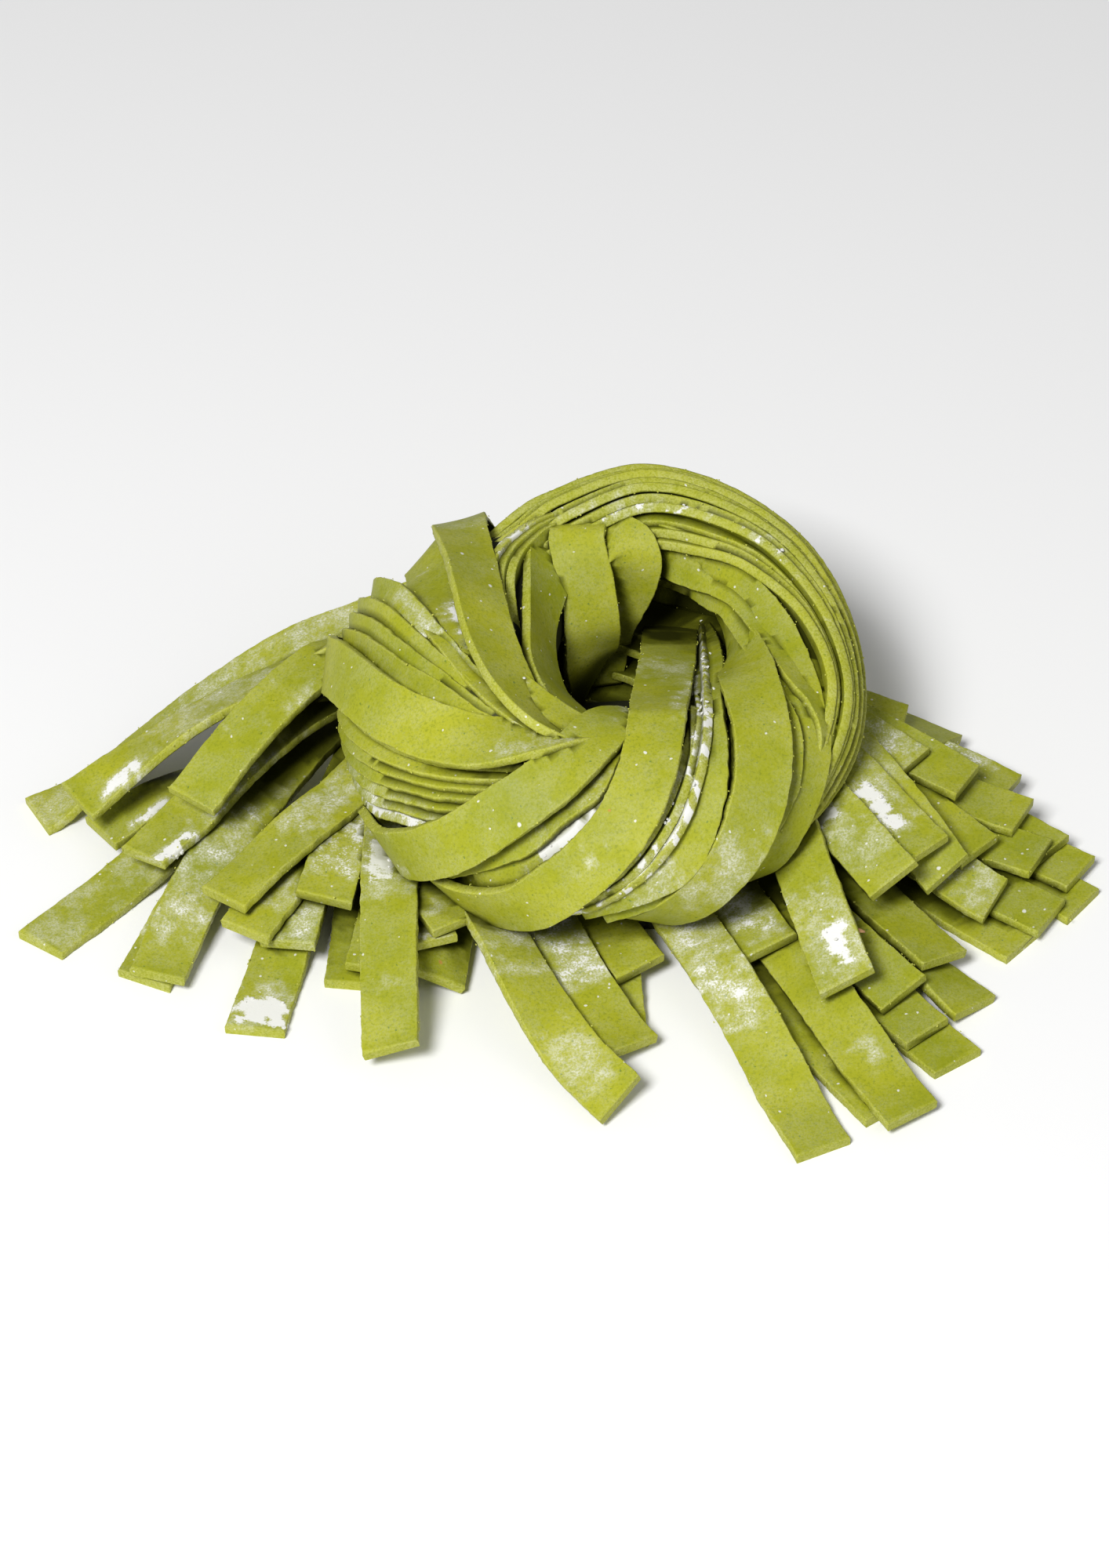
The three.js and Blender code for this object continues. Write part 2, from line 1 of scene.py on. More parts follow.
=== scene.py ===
"""A nest of fresh green ribbon pasta: one loose coil with its cut ends fanned out, dusted with flour.

Places in the tables are millimetres from the middle of the coil's hole, +Z up, and the whole nest is
moved by NEST_SHIFT into the frame. There are two kinds of ribbon. A band is part of the coil: it lies
on the coil's tube, or stands free in the hole or round the back. A tail lies on the table, settled over
the tails laid before it.
"""

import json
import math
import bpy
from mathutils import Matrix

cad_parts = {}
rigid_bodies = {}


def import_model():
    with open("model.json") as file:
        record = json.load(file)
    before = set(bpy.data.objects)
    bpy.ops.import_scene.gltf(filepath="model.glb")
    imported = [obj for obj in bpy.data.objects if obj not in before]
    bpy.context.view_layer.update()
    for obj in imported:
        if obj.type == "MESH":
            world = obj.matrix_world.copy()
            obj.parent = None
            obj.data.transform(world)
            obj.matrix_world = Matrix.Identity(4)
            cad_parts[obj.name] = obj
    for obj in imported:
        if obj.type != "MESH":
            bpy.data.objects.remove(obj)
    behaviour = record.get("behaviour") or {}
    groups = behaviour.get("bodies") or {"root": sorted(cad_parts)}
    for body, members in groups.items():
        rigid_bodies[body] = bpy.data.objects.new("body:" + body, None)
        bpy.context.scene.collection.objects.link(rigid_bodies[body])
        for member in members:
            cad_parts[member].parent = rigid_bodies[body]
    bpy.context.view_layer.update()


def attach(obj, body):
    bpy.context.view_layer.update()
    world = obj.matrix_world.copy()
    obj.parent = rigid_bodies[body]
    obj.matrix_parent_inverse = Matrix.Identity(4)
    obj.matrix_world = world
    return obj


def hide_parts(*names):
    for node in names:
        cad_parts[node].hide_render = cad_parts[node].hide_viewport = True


bl_info = {
    "name": "Fresh pasta nest",
    "version": (1, 0, 0),
    "blender": (4, 5, 0),
    "location": "3D View > Sidebar > Pasta nest",
    "description": "Builds a nest of fresh ribbon pasta with its flour, on a plain stage",
    "category": "Object",
}

import bpy
import numpy as np
from mathutils import Vector
from mathutils.bvhtree import BVHTree

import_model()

NODE = "pasta_nest"
BODY = "root"
MM = 0.001

# ---------------------------------------------------------------- driving sizes, in millimetres

NEST_SHIFT = np.array([12.76, 19.77, 0.0])

# The coil's tube, every 45 degrees from +X, anticlockwise from above:
# (distance of its middle from the hole, height of its middle, radius)
RING_STATIONS = np.array([
    (20.8, 25.0, 9.6), (21.4, 29.0, 9.0), (22.6, 31.5, 9.3), (22.5, 27.5, 11.0),
    (26.8, 23.0, 16.6), (27.5, 20.0, 17.0), (25.5, 19.0, 15.3), (22.6, 21.0, 12.2),
])
CORE_DEPTH = 2.6  # from the tube down to the plain core
MOUND_CENTRE = (-3.0, -5.0)
MOUND_RADII = (34.0, 23.0, 12.0)
RIM_ANGLE = math.radians(40)  # the mound's rim at the table is sharper than this, and stays sharp

# Where a ribbon's stations lie
FINE_STEPS = 40  # between two points of a table
FEWEST_STEPS = 8  # in a whole ribbon

# How the tails lie over each other
TUCK_LENGTH = 30.0  # stretch at a tail's buried end where it bends away under the arch
PILE_CELL = 0.5
PILE_LOW = (-95.0, -82.0)
PILE_SIZE = (170.0, 130.0)
PILE_GAP = 0.15  # air between a tail and what it lies on
DRAPE = 0.012  # how tightly a tail can bend over an edge, 1/mm
SMOOTHING_PASSES = 6
MAX_ROLL = 4.0  # most that one edge of a tail stands above the other
FEELERS = 4  # points on each side of a tail's middle that feel what is under it
POINTS_ACROSS = 33  # of a tail, that raise the pile
CLIMB_START = 0.18  # shares of a tail's length from its tip: where it starts to climb to its buried end,
LEAVES_PILE = 0.55  # where it starts to leave what it lies on,
CARRIES = 0.62  # how far later tails lie on it,
ROLLED_AT = 0.4  # and where one of the ROLLS is turned all the way
CLIMB_EASE = 0.9  # 0 for a straight climb, 1 for one that is level at both ends

# The ribbon's section, once round it: place across it from -1 to 1, how far in from there,
# place through its thickness from -1 to 1, and how much it belongs to the cut edge.
SECTION = np.array([
    (-1, 0.1, 1, 0.7), (-0.94, 0, 1, 0.1), (-0.66, 0, 1, 0), (-0.33, 0, 1, 0), (0, 0, 1, 0),
    (0.33, 0, 1, 0), (0.66, 0, 1, 0), (0.94, 0, 1, 0.1), (1, -0.1, 1, 0.7),
    (1, 0, 0.72, 1), (1, 0, -0.72, 1),
    (1, -0.1, -1, 0.7), (0.94, 0, -1, 0.1), (0, 0, -1, 0), (-0.94, 0, -1, 0.1), (-1, 0.1, -1, 0.7),
    (-1, 0, -0.72, 1), (-1, 0, 0.72, 1),
])

# How uneven a ribbon is; a span is the length over which a wave comes and goes
WIDTH_WAVER = 0.025  # share of the width
WIDTH_SPAN = 14.0
WAVE_HEIGHT = 0.12  # of the whole ribbon, up and down
WAVE_SPAN = 9.0
TORN_WAVES = ((1.6, 1.0), (0.8, 0.6))  # of the cut edges: span, and share of the raggedness
CRUMBLED_ACROSS = 0.7  # how far each vertex of a cut edge strays, as a share of the raggedness
CRUMBLED_THROUGH = 0.5
TIP_SLANT = 6.0  # most degrees by which a tip is cut askew
TONES = 0.4  # how much lighter one ribbon may be than another, from mottling to face colour

# Painted shade darkens the dough where other dough shelters it from the room's light, and in the hollows:
# x, y, z of a hollow's middle, its radius, and how far it fades
SHADED_HOLLOWS = [(-3.0, 0.0, 7.0, 16.0, 4.0), (-2.5, 0.5, 17.0, 7.5, 2.5), (3.5, 14.0, 21.0, 5.5, 2.5)]
SHELTER_RAYS = 40
SHELTER_REACH = 25.0
SHELTER_FROM = 0.5  # share of the rays that are stopped where it starts to darken
RAY_START = 0.15  # off the surface
LOWEST_RAY = 0.15  # sine of its angle with the surface

# The first number of each kind of random draws
TAIL_DRAWS = 99
LUMP_DRAWS = 7
CRUMB_DRAWS = 8


# ---------------------------------------------------------------- the ribbons' places

def on(u, v, lift=0.0):
    """A point u degrees round the ring, v degrees round its tube (90 on top, 180 towards the hole)."""
    return ("on", u, v, lift)


def at(x, y, z, inward=(0, 0, -10)):
    """A free point, with the direction from it into the dough."""
    return ("at", x, y, z, *inward)


def between(guide_a, guide_b, share):
    """The points of a ribbon a share of the way between two guides of like points."""
    return [(p[0], *(a + (b - a) * share for a, b in zip(p[1:], q[1:]))) for p, q in zip(guide_a, guide_b)]


def side_by_side(name, guide_a, guide_b, shares, tilt, side, first=0):
    """Bands at shares of the way between two guides, named by number."""
    return [
        (f"{name}{k}", between(guide_a, guide_b, share), tilt, side)
        for k, share in enumerate(shares, first)
    ]


def wall(reach, heights, first, last):
    """The points of a band upright round the back, from one turn about the hole to another."""
    turns = np.radians(np.linspace(first, last, len(heights)))
    return [
        at(reach * math.cos(turn), reach * math.sin(turn), height, (-math.cos(turn), -math.sin(turn), 0))
        for turn, height in zip(turns, heights)
    ]


# Each band: name, points, tilt along them in degrees, and the side of the points on which its body
# lies: 0 across both sides, otherwise the points are its free edge.
ARCH_TOP = [
    on(166, 112, -6), on(150, 128, -4), on(136, 146, -1.5), on(120, 150, -0.2), on(90, 150, 0.5),
    on(60, 138, 0.8), on(30, 114, 0.8), on(0, 82, 0.6), on(-25, 50, 0.3), on(-50, 20, -1),
    on(-70, -10, -2),
]
ARCH_FOOT = [
    on(166, -46, -6), on(150, -50, -4), on(136, -53, -1.5), on(120, -55, -0.2), on(90, -57),
    on(60, -59), on(30, -61), on(0, -62), on(-25, -64), on(-45, -68, -1), on(-65, -76, -2),
]
ARCH_SHARES = [0, 0.045, 0.08, 0.15, 0.195, 0.25, 0.30, 0.35, 0.41, 0.48, 0.55, 0.62, 0.70, 0.78, 0.88, 1]
ARCH_LIFTS = [0.5, 0.1, -0.5, 0.7, 0.3, 0.5, 0, 0.4, 0, 0.3, 0, 0.3, 0.1, 0.3, 0, 0]  # beyond the guides
ARCH_GIRTH = 192 * 0.162  # degrees of tube between the guides, by the millimetres of one
LAST_ARCH_STEP = 0.08  # share of the girth that the last ribbon shows
LEAST_SHOWN = 1.03  # what each ribbon shows at least, in thicknesses
STEEPEST_SINE = 0.93  # of the tilt

STEP_TOP = [
    on(246, 66, -1), on(238, 58, -0.2), on(229, 49, 0.2), on(220, 40, 0.3), on(209, 30, 0.3),
    on(197, 19, 0.2), on(184, 3), on(172, -20, -0.5), on(160, -46, -1),
]
STEP_FOOT = [
    on(242, 30, -1), on(235, 24, -0.2), on(227, 16), on(219, 8), on(211, -4), on(202, -15),
    on(192, -28, -0.2), on(182, -44, -0.5), on(172, -62, -1),
]
STEP_SHARES = [0, 0.25, 0.42, 0.60, 0.80, 1, 1.22]

LEFT_FIRST = [
    on(246, 80, -2.4), on(236, 77, -0.6), on(224, 73, 0.3), on(212, 70, 0.5), on(200, 60, 0.7),
    on(188, 46, 1), on(178, 25, 1.4), on(170, 3, 1.2), on(162, -26, 0.6), on(155, -60, -0.6),
]
LEFT_LAST = [
    on(250, 90, -2.4), on(238, 88, -0.4), on(224, 88, 0.5), on(210, 87, 0.8), on(193, 80, 0.8),
    on(178, 64, 1.2), on(168, 38, 1.6), on(160, 10, 1.4), on(151, -25, 0.8), on(144, -60, -0.6),
]
LEFT_SHARES = [0, 0.28, 0.58, 1]

FRONT_EDGE = [
    at(8.4, 20, 17), at(8.4, 11, 21), at(8.2, 0, 26), at(8, -9, 30), on(-67, 108, 0.8),
    on(-75, 78, 0.9), on(-81, 50, 0.9), on(-86, 31, 1.2), on(-92, 14, 1.2), on(-101, -5, 0.8),
    on(-111, -22),
]
FRONT_EDGE_LAST = [
    at(6, 20, 14), at(6, 11, 17.5), at(5.6, 0, 22.5), at(5.2, -9, 27), on(-74, 108, -0.8),
    on(-81, 78, 0), on(-87, 50, 0.5), on(-92, 31, 1), on(-98, 13, 1), on(-107, -6, 0.6),
    on(-117, -22),
]
FRONT_EDGE_SHARES = [(0, 64), (0.5, 70), (1, 74)]  # share of the way, tilt
LEFT_EDGE = [
    on(200, 124, -3), on(182, 115, -1.4), on(168, 105, -0.2), on(153, 97, 0), on(140, 92, 0.2),
    on(130, 90, 0), on(120, 90, -1.5),
]
LEFT_EDGE_LAST = [
    on(190, 138, -3), on(176, 128, -1.8), on(164, 119, -0.8), on(152, 112, -0.2), on(141, 107, 0.2),
    on(131, 103, 0), on(121, 102, -1.5),
]
LEFT_EDGE_SHARES = [0, 0.4, 0.8]

RIGHT_BANDS = [
    ("N1", [
        on(100, 200, -5), on(88, 194, -2.6), on(74, 187), on(60, 179, 0.3), on(28, 152, 0.4),
        on(0, 130, 0.4), on(-20, 108, 0.3), on(-32, 86, 0.2), on(-36, 62, 0.2), on(-40, 42),
        on(-46, 25, -1),
    ], [24, 26, 28, 28, 24, 20, 18, 24], -1),
    ("N2", [
        on(62, 172, -2.2), on(46, 158, -1.3), on(28, 141, -1.1), on(12, 131, -1.1), on(-6, 116, -1.2),
        on(-20, 100, -1.5), on(-30, 84, -1.6), on(-38, 66, -1.6), on(-43, 48, -1.4),
        on(-50, 30, -1.2), on(-58, 10, -1.2), on(-64, -14, -1.6), on(-70, -40, -2.5),
    ], [0], 0),
    ("N3", [
        on(20, 170, -1.4), on(-8, 134, -0.8), on(-27, 104, -0.2), on(-38, 83, 0.2), on(-43, 62, 0.3),
        on(-47, 48, 0.3), on(-51, 35, 0.3), on(-56, 22, 0.2), on(-63, 7), on(-70, -16, -0.6),
        on(-77, -38, -2),
    ], [30, 28, 26, 24], 1),
    ("N4", [
        on(54, 196, -3.4), on(34, 180, -2.4), on(10, 160, -1.8), on(-14, 139, -0.6), on(-43, 105, 0.9),
        on(-53, 83, 0.9), on(-58, 66, 0.9), on(-63, 47, 0.9), on(-69, 25, 0.7), on(-75, 6, 0.3),
        on(-82, -14, -0.3), on(-90, -36, -1.6), on(-98, -58, -4),
    ], [0], 0),
]
FRONT_BANDS = [
    ("F3", [
        on(0, 150, -3), on(-50, 115, -2), on(-62, 88, -1.6), on(-68, 62, -1.2), on(-70, 46, -0.6),
        on(-73, 28, -0.3), on(-76, 15, -0.1), on(-79, 5), on(-83, -4), on(-89, -13), on(-98, -24),
    ], [50, 50, 40, 20], 1),
    ("F2", [
        at(9.8, 20, 17), at(10.7, 11, 21.5), at(10.9, 0, 26.5), at(10.6, -9, 30.2), on(-60, 104, 0.6),
        on(-68, 74, 0.8), on(-72, 51, 0.8), on(-75, 36, 0.8), on(-77, 25, 0.8), on(-80, 13, 0.8),
        on(-84, 3, 0.6), on(-92, -6, 0.4), on(-102, -18, 0.2),
    ], [30, 24, 18, 12, 8], 1),
    *((f"Fe{k}", between(FRONT_EDGE, FRONT_EDGE_LAST, share), [tilt], 1)
      for k, (share, tilt) in enumerate(FRONT_EDGE_SHARES)),
    ("Fb", [
        on(-68, 128, -1), on(-72, 113, 0.4), on(-78, 80, 0.5), on(-81, 62), on(-84, 48, -2),
    ], [66], 1),
    ("A4", [
        on(264, 80, -1.2), on(261, 42, -1.2), on(256, 14, -1.2), on(249, -6, -1.2), on(240, -24, -1.4),
    ], [8], 1),
    ("A3", [
        on(264, 100, -0.6), on(263, 72, -0.4), on(260, 47, -0.4), on(258, 32, -0.3), on(253, 17, -0.3),
        on(248, 4, -0.3), on(240, -10, -0.3), on(230, -26, -0.6),
    ], [14], 1),
    ("A2", [
        on(272, 112, -1), on(266, 100, 0), on(262, 74, 0.4), on(259, 54, 0.4), on(253, 39, 0.4),
        on(248, 22, 0.4), on(241, 7, 0.3), on(231, -16),
    ], [20, 22, 24, 20], 1),
    ("A", [
        on(284, 122, -3.4), on(274, 119, -2), on(265, 111, -0.5), on(257, 92, 0.5), on(252, 70, 1.1),
        on(247, 52, 1.2), on(241, 35, 1.3), on(235, 18, 1.3), on(228, 2, 1.5), on(219, -14, 1.4),
        on(208, -30, 0.2),
    ], [0, 0, 0, 2, 0], 0),
    ("B", [
        at(4.5, 26, 12), at(4.3, 21.5, 14.5), at(4, 16, 17.5), at(3.2, 2, 24), on(274, 110, 1.3),
        on(272, 90, 1.6), on(269, 63, 1.7), on(265, 42, 1.7), on(260, 25, 1.7), on(254, 9, 1.6),
        on(247, -9, 1.2), on(238, -22, 0.6), on(229, -30), on(220, -42, -1.6),
    ], [0, 0, 0, -3, -4, -2, 0], 0),
]
STEP_BANDS = side_by_side("S", STEP_TOP, STEP_FOOT, STEP_SHARES, [50, 42, 36, 34, 34], 1)
LEFT_BANDS = [
    ("L1", [
        on(252, 90, -2.4), on(247, 84, -1), on(240, 74, 0.2), on(230, 60, 0.9), on(220, 52, 1.3),
        on(210, 45, 1.6), on(200, 38, 1.6), on(190, 27, 1.6), on(182, 12, 1.5), on(175, -5, 1.2),
        on(168, -25, 0.8), on(162, -50, 0.4), on(156, -80, -1),
    ], [-44, -20, 0, 4, 2, 0, 0], 0),
    *side_by_side("L", LEFT_FIRST, LEFT_LAST, LEFT_SHARES, [40, 30, 24, 22, 24], -1, first=2),
    ("L6", [
        on(248, 90, -2), on(238, 90, -1), on(228, 91, -0.6), on(215, 92, -0.5), on(200, 90, -0.5),
        on(188, 85, -1.8), on(177, 78, -3.2), on(164, 60, -3), on(153, 30, -0.6), on(146, -10, 0.6),
        on(140, -46, 1), on(135, -80),
    ], [0], 0),
    ("L7", [
        on(250, 85, -2.8), on(238, 88, -0.8), on(224, 94, 0.7), on(204, 101, 1.1), on(186, 101, 1.1),
        on(168, 92, 0.4), on(154, 70, 0.3), on(144, 42, 1), on(136, 8, 2.1), on(131, -30, 2.4),
        at(-21, 29, 9, (2, -10, 2)), at(-17, 27, 1.2, (2, -10, 2)),
    ], [-50, -30, -14, -18, -28, -20, -8, 0], 0),
    *side_by_side("Le", LEFT_EDGE, LEFT_EDGE_LAST, LEFT_EDGE_SHARES, [60], 1),
]
BACK_BANDS = [
    ("M1", [
        on(252, 96, -2), on(243, 98, -0.8), on(232, 107, -0.4), on(212, 120), on(183, 129, 0.2),
        on(158, 120, 0.2), on(144, 105, -0.5), on(135, 88, -3), on(128, 60, -6),
    ], [34, 28, 24, 20, 14], 1),
    ("M2", [
        at(-9.8, 12, 4, (-9, 2, -2)), at(-9.4, 11, 9.5, (-8, 4, -2)), at(-8.5, 10, 15, (-7, 6, -3)),
        at(-7.6, 8.5, 21, (-3, 8, -3)), at(-7.5, 7.5, 26.5, (-1, 9, -4)), at(-8.2, 9, 32, (0, 8, -5)),
        at(-9.2, 11, 35.6, (1, 6, -7)), at(-9.7, 13, 37.2, (1, 2, -9)), at(-9.6, 15, 37.8, (1, -1, -10)),
        at(-9.2, 17.4, 36.2, (1, -5, -8)), at(-8.8, 19, 32, (1, -8, -4)),
    ], [0], 0),
    ("M3", [
        at(-7, 15, 9, (-3, 9, -1)), at(-6, 14.7, 16, (-2, 9, -2)), at(-5, 14, 21.5, (-1, 9, -3)),
        at(-3.4, 13, 26.5, (0, 9, -3)), at(-2, 12.2, 31, (0, 9, -4)), at(-1.6, 12, 34.4, (0, 8, -5)),
        at(-2.6, 13, 36.6, (0, 5, -8)), at(-5.6, 14.6, 36.4, (0, 4, -9)), at(-9.5, 16, 33, (0, 2, -10)),
    ], [0], 0),
]
UNDER_BANDS = [
    ("U0", wall(25.5, [19, 18.5, 18, 17.6, 18.4, 18.8, 18], 188, -8), [12], 0),
    ("U1", wall(26.6, [14.5, 13.2, 13.6, 13, 12.4, 13.4, 13], 190, -4), [4, -8, 6], 0),
    ("U2", wall(28.2, [10, 9.4, 8.4, 9, 8.6, 8, 7.4], 196, 0), [-4, 8, -2], 0),
    ("U3", wall(27, [5.4, 4.6, 4.4, 6, 4.8, 4.4, 5.6], 200, -10), [12, -8, 14, -4], 0),
    ("U4", wall(28.8, [4.6, 7, 9.4, 10.6, 8.6, 6, 4.6], 172, 24), [-14, -24, -10, -18], 0),
]

# The tails by the piece they are joined in, in the order in which they are laid: name, tip x and y,
# heading at the tip (buried end to tip) in degrees, turn of the heading towards the buried end, length,
# height of the buried end, and the further turn of those that bend round under the arch.
TAILS = {
    "left_tails": [
        ("T4", -85, -32, -130, -8, 62, 7), ("T10", -70, -39, -110, -10, 52, 5),
        ("T11", -68, -40, -105, -22, 56, 8), ("T15", -41, -40, -95, 0, 32, 4),
        ("T15b", -38, -39, -100, 0, 30, 5), ("T19", -29, -41, -95, -6, 30, 4),
        ("T12", -54, -49, -100, -10, 56, 4), ("T13", -50, -36, -100, -8, 42, 6),
        ("T9", -56, -35, -118, -8, 46, 7), ("T17", -30, -38, -70, -26, 28, 5),
        ("T18", -26, -36, -55, -40, 28, 6), ("T14", -45, -31, -100, -16, 40, 11),
        ("T3", -78, -12, -145, -16, 60, 18), ("T1", -88, -5, -150, -18, 70, 24),
        ("T5", -71, -21, -130, -16, 56, 18), ("T2", -81, -11, -145, -22, 66, 27),
        ("T8", -59, -31, -130, 0, 46, 14), ("T7", -64, -17, -130, -6, 48, 20),
        ("T16", -35, -56, -87, -4, 46, 9),
    ],
    "front_tails": [
        ("T25", -4, -51, -85, -6, 30, 3), ("T24", -1, -40, -60, -14, 24, 4),
        ("T22", -7, -55, -55, -30, 38, 5), ("T23", -2, -54, -52, -30, 38, 6),
        ("T21", -4, -64, -47, -36, 50, 7),
    ],
    "right_tails": [
        ("R3", 32, -64, -55, -6, 50, 3), ("R28", 42, -55, -50, -8, 52, 3),
        ("R27", 38, -51, -50, -10, 48, 4), ("R25", 45, -45, -47, -10, 50, 5),
        ("R26", 35, -46, -50, -10, 44, 6), ("R24", 41, -39, -50, -8, 46, 7),
        ("R2", 35, -66, -60, -4, 58, 2), ("R23", 53, -32, -40, -8, 58, 5),
        ("R22", 62, -24, -40, -2, 100, 2, 60), ("R20", 62, -19, -35, -2, 100, 4, 65),
        ("R21", 57, -28, -35, -8, 60, 7), ("R19", 58, -16, -40, 4, 94, 6, 65),
        ("R18", 56, -19, -25, -16, 90, 8, 70), ("R14", 53, -4, -30, 4, 82, 10, 60),
        ("R13", 54, -12, -25, -12, 86, 12, 65), ("R9", 49, -27, -35, -8, 60, 11),
        ("R10", 47, -21, -45, -6, 84, 14, 65), ("R15", 45, 6, -30, 6, 72, 16, 60),
        ("R16", 38, 5, -15, -12, 66, 20, 60), ("R11", 46, -9, -35, -2, 74, 18, 60),
        ("R12", 38, -8, -40, -2, 64, 19, 60), ("R5", 17, -39, -65, -8, 32, 8),
        ("R8", 42, -27, -55, -10, 44, 13), ("R7", 39, -27, -50, -14, 42, 14),
        ("R6", 34, -33, -55, -6, 38, 12), ("R4", 27, -48, -72, -6, 44, 10),
        ("R1", 23, -71, -66, 2, 54, 6),
    ],
}
ROLLS = {"T2": 36, "T3": 30}  # degrees by which a tail is turned about its length, away from its tip

# Flour on the outer faces: for each ribbon, patches from one share of its length to another (tails
# count from the tip, bands from the hole), across from -1 to 1, and how thick it lies.
FLOUR = {
    "R1": [(0.40, 0.66, -1, 1, 0.55), (0.66, 0.95, -1, 1, 0.50)],
    "R2": [(0.15, 0.24, -0.4, 0.5, 0.50), (0.75, 0.95, -1, 1, 0.40)],
    "R4": [(0.06, 0.22, -0.2, 0.7, 0.85), (0, 0.35, -1, 1, 0.40), (0.55, 0.95, -1, 1, 0.72)],
    "R5": [(0.05, 0.60, -0.8, 0.8, 0.60), (0.50, 0.95, 0.4, 1, 0.85)],
    "R6": [(0.33, 0.62, -1, 0.1, 0.80), (0.10, 0.60, -1, 1, 0.40)],
    "R7": [(0.12, 0.34, -0.7, 0.3, 0.90), (0.10, 0.75, -0.8, 0.9, 0.50)],
    "R8": [(0.30, 0.70, -1, 1, 0.30)],
    "R9": [(0.20, 0.50, 0.1, 0.9, 0.75), (0, 0.40, -1, 1, 0.45)],
    "R12": [(0, 0.30, -1, 1, 0.55)],
    "R14": [(0.05, 0.50, 0.3, 1, 0.60)],
    "R18": [(0.20, 0.60, 0.2, 1, 0.50)],
    "R16": [(0.10, 0.60, 0.5, 1, 0.60)],
    "R26": [(0.30, 0.70, -1, 1, 0.40)],
    "R25": [(0.30, 0.60, -1, 1, 0.35)],
    "T1": [(0.30, 0.95, -1, 1, 0.45), (0, 0.15, -1, 1, 0.30)],
    "T2": [(0.05, 0.16, 0.2, 1, 0.80), (0.20, 0.60, -1, 1, 0.40)],
    "T3": [(0.08, 0.18, 0.4, 1, 0.85), (0.60, 0.90, -1, 1, 0.45)],
    "T4": [(0, 1, -1, 1, 0.30), (0.35, 0.70, -1, 0.6, 0.50)],
    "T5": [(0, 0.14, 0.5, 1, 0.95), (0.14, 0.60, 0.6, 1, 0.60), (0.60, 0.95, -1, 1, 0.50)],
    "T7": [(0.30, 0.80, 0.6, 1, 0.55)],
    "T8": [(0.30, 0.62, -0.8, 0.6, 0.48)],
    "T9": [(0.10, 0.60, -1, 1, 0.45)],
    "T10": [(0.10, 0.70, -1, 1, 0.45)],
    "T11": [(0.10, 0.70, -1, 1, 0.52)],
    "T12": [(0.01, 0.11, -1, 1, 0.95), (0, 0.16, -1, 1, 0.50), (0.30, 0.36, 0, 1, 0.55)],
    "T13": [(0, 0.25, -1, 1, 0.50)],
    "T14": [(0.10, 0.55, -1, 1, 0.62)],
    "T16": [(0.58, 0.80, -0.9, 0.2, 0.80), (0.50, 0.85, -1, 1, 0.40), (0.19, 0.23, -0.4, 0.4, 0.45)],
    "T17": [(0, 0.60, -1, 1, 0.55)],
    "T18": [(0.10, 0.80, -1, 1, 0.50)],
    "T21": [(0.45, 0.80, -1, 1, 0.45), (0.06, 0.30, -0.8, 0.8, 0.42)],
    "T22": [(0.30, 0.80, -1, 1, 0.42)],
    "T23": [(0.30, 0.80, -1, 1, 0.56)],
    "Fe0": [(0, 1, -1, 1, 1.25)],
    "Fe1": [(0.20, 1, -1, 1, 1.1)],
    "Fe2": [(0.55, 1, -1, 1, 0.80)],
    "Fb": [(0, 1, -1, -0.5, 0.60)],
    "F2": [(0.18, 0.58, -0.2, 0.5, 0.70), (0.80, 1, -1, 1, 0.50)],
    "B": [(0.24, 0.33, -1, 1, 0.36), (0.33, 0.48, -1, -0.6, 0.60), (0.66, 0.70, -0.2, 0.4, 0.60)],
    "A": [(0, 0.14, -1, 1, 0.40), (0.80, 0.95, -1, -0.5, 0.60)],
    "A2": [(0.20, 0.60, -1, 0, 0.35)],
    "A3": [(0.16, 0.58, -1, 1, 1.3)],
    "A4": [(0.10, 0.50, -1, 1, 1.0)],
    "L1": [(0, 0.16, -1, 0, 0.42)],
    "L5": [(0.20, 0.50, -1, 1, 0.50)],
    "L6": [(0.14, 0.42, 0, 1, 0.92)],
    "L7": [(0.50, 0.65, -1, 1, 0.25)],
    "Le0": [(0.30, 0.80, -1, 1, 0.80)],
    "M3": [(0.40, 0.46, -0.2, 0.4, 0.50)],
    "N4": [(0.66, 0.82, -1, 1, 0.45)],
    "arch3": [(0.20, 0.36, -1, -0.2, 0.95), (0.39, 0.50, -1, -0.2, 0.90)],
    "arch4": [(0.20, 0.30, -1, 0, 0.60), (0.42, 0.48, -1, 0, 0.50)],
    "arch5": [(0.16, 0.26, -1, 0, 0.55)],
    "arch6": [(0.08, 0.20, -1, 0, 0.55)],
    "S4": [(0.20, 0.70, -1, 1, 0.35)],
    "S5": [(0.10, 0.80, -1, 1, 0.50)],
    "S6": [(0.10, 0.90, -1, 1, 0.75)],
}
FLOUR_WAVES = np.array([  # waves along x, y and z in radians a millimetre, that make patches uneven
    (1.9, 0.6, 0.9), (-0.7, 2.3, 0.4), (1.2, -1.5, 1.1), (3.4, 1.8, -1.2), (-2.6, 2.9, 0.8),
])
DUSTING = 0.08  # flour everywhere else
PATCH_ENDS = 0.08  # over which a patch fades along the ribbon, as a share of its length
PATCH_SIDES = 0.6  # and across it, in half widths
PATCH_GAIN = 1.5  # height of a patch's middle,
PATCH_LOSS = 0.35  # what is taken off it everywhere,
PATCH_WAVER = 0.9  # and height of the waves: the sum, held between 0 and 1, is the patch's thickness
UNDERSIDE = -0.9  # place through the thickness under which no patch lies

# ---------------------------------------------------------------- lumps, crumbs and fibre

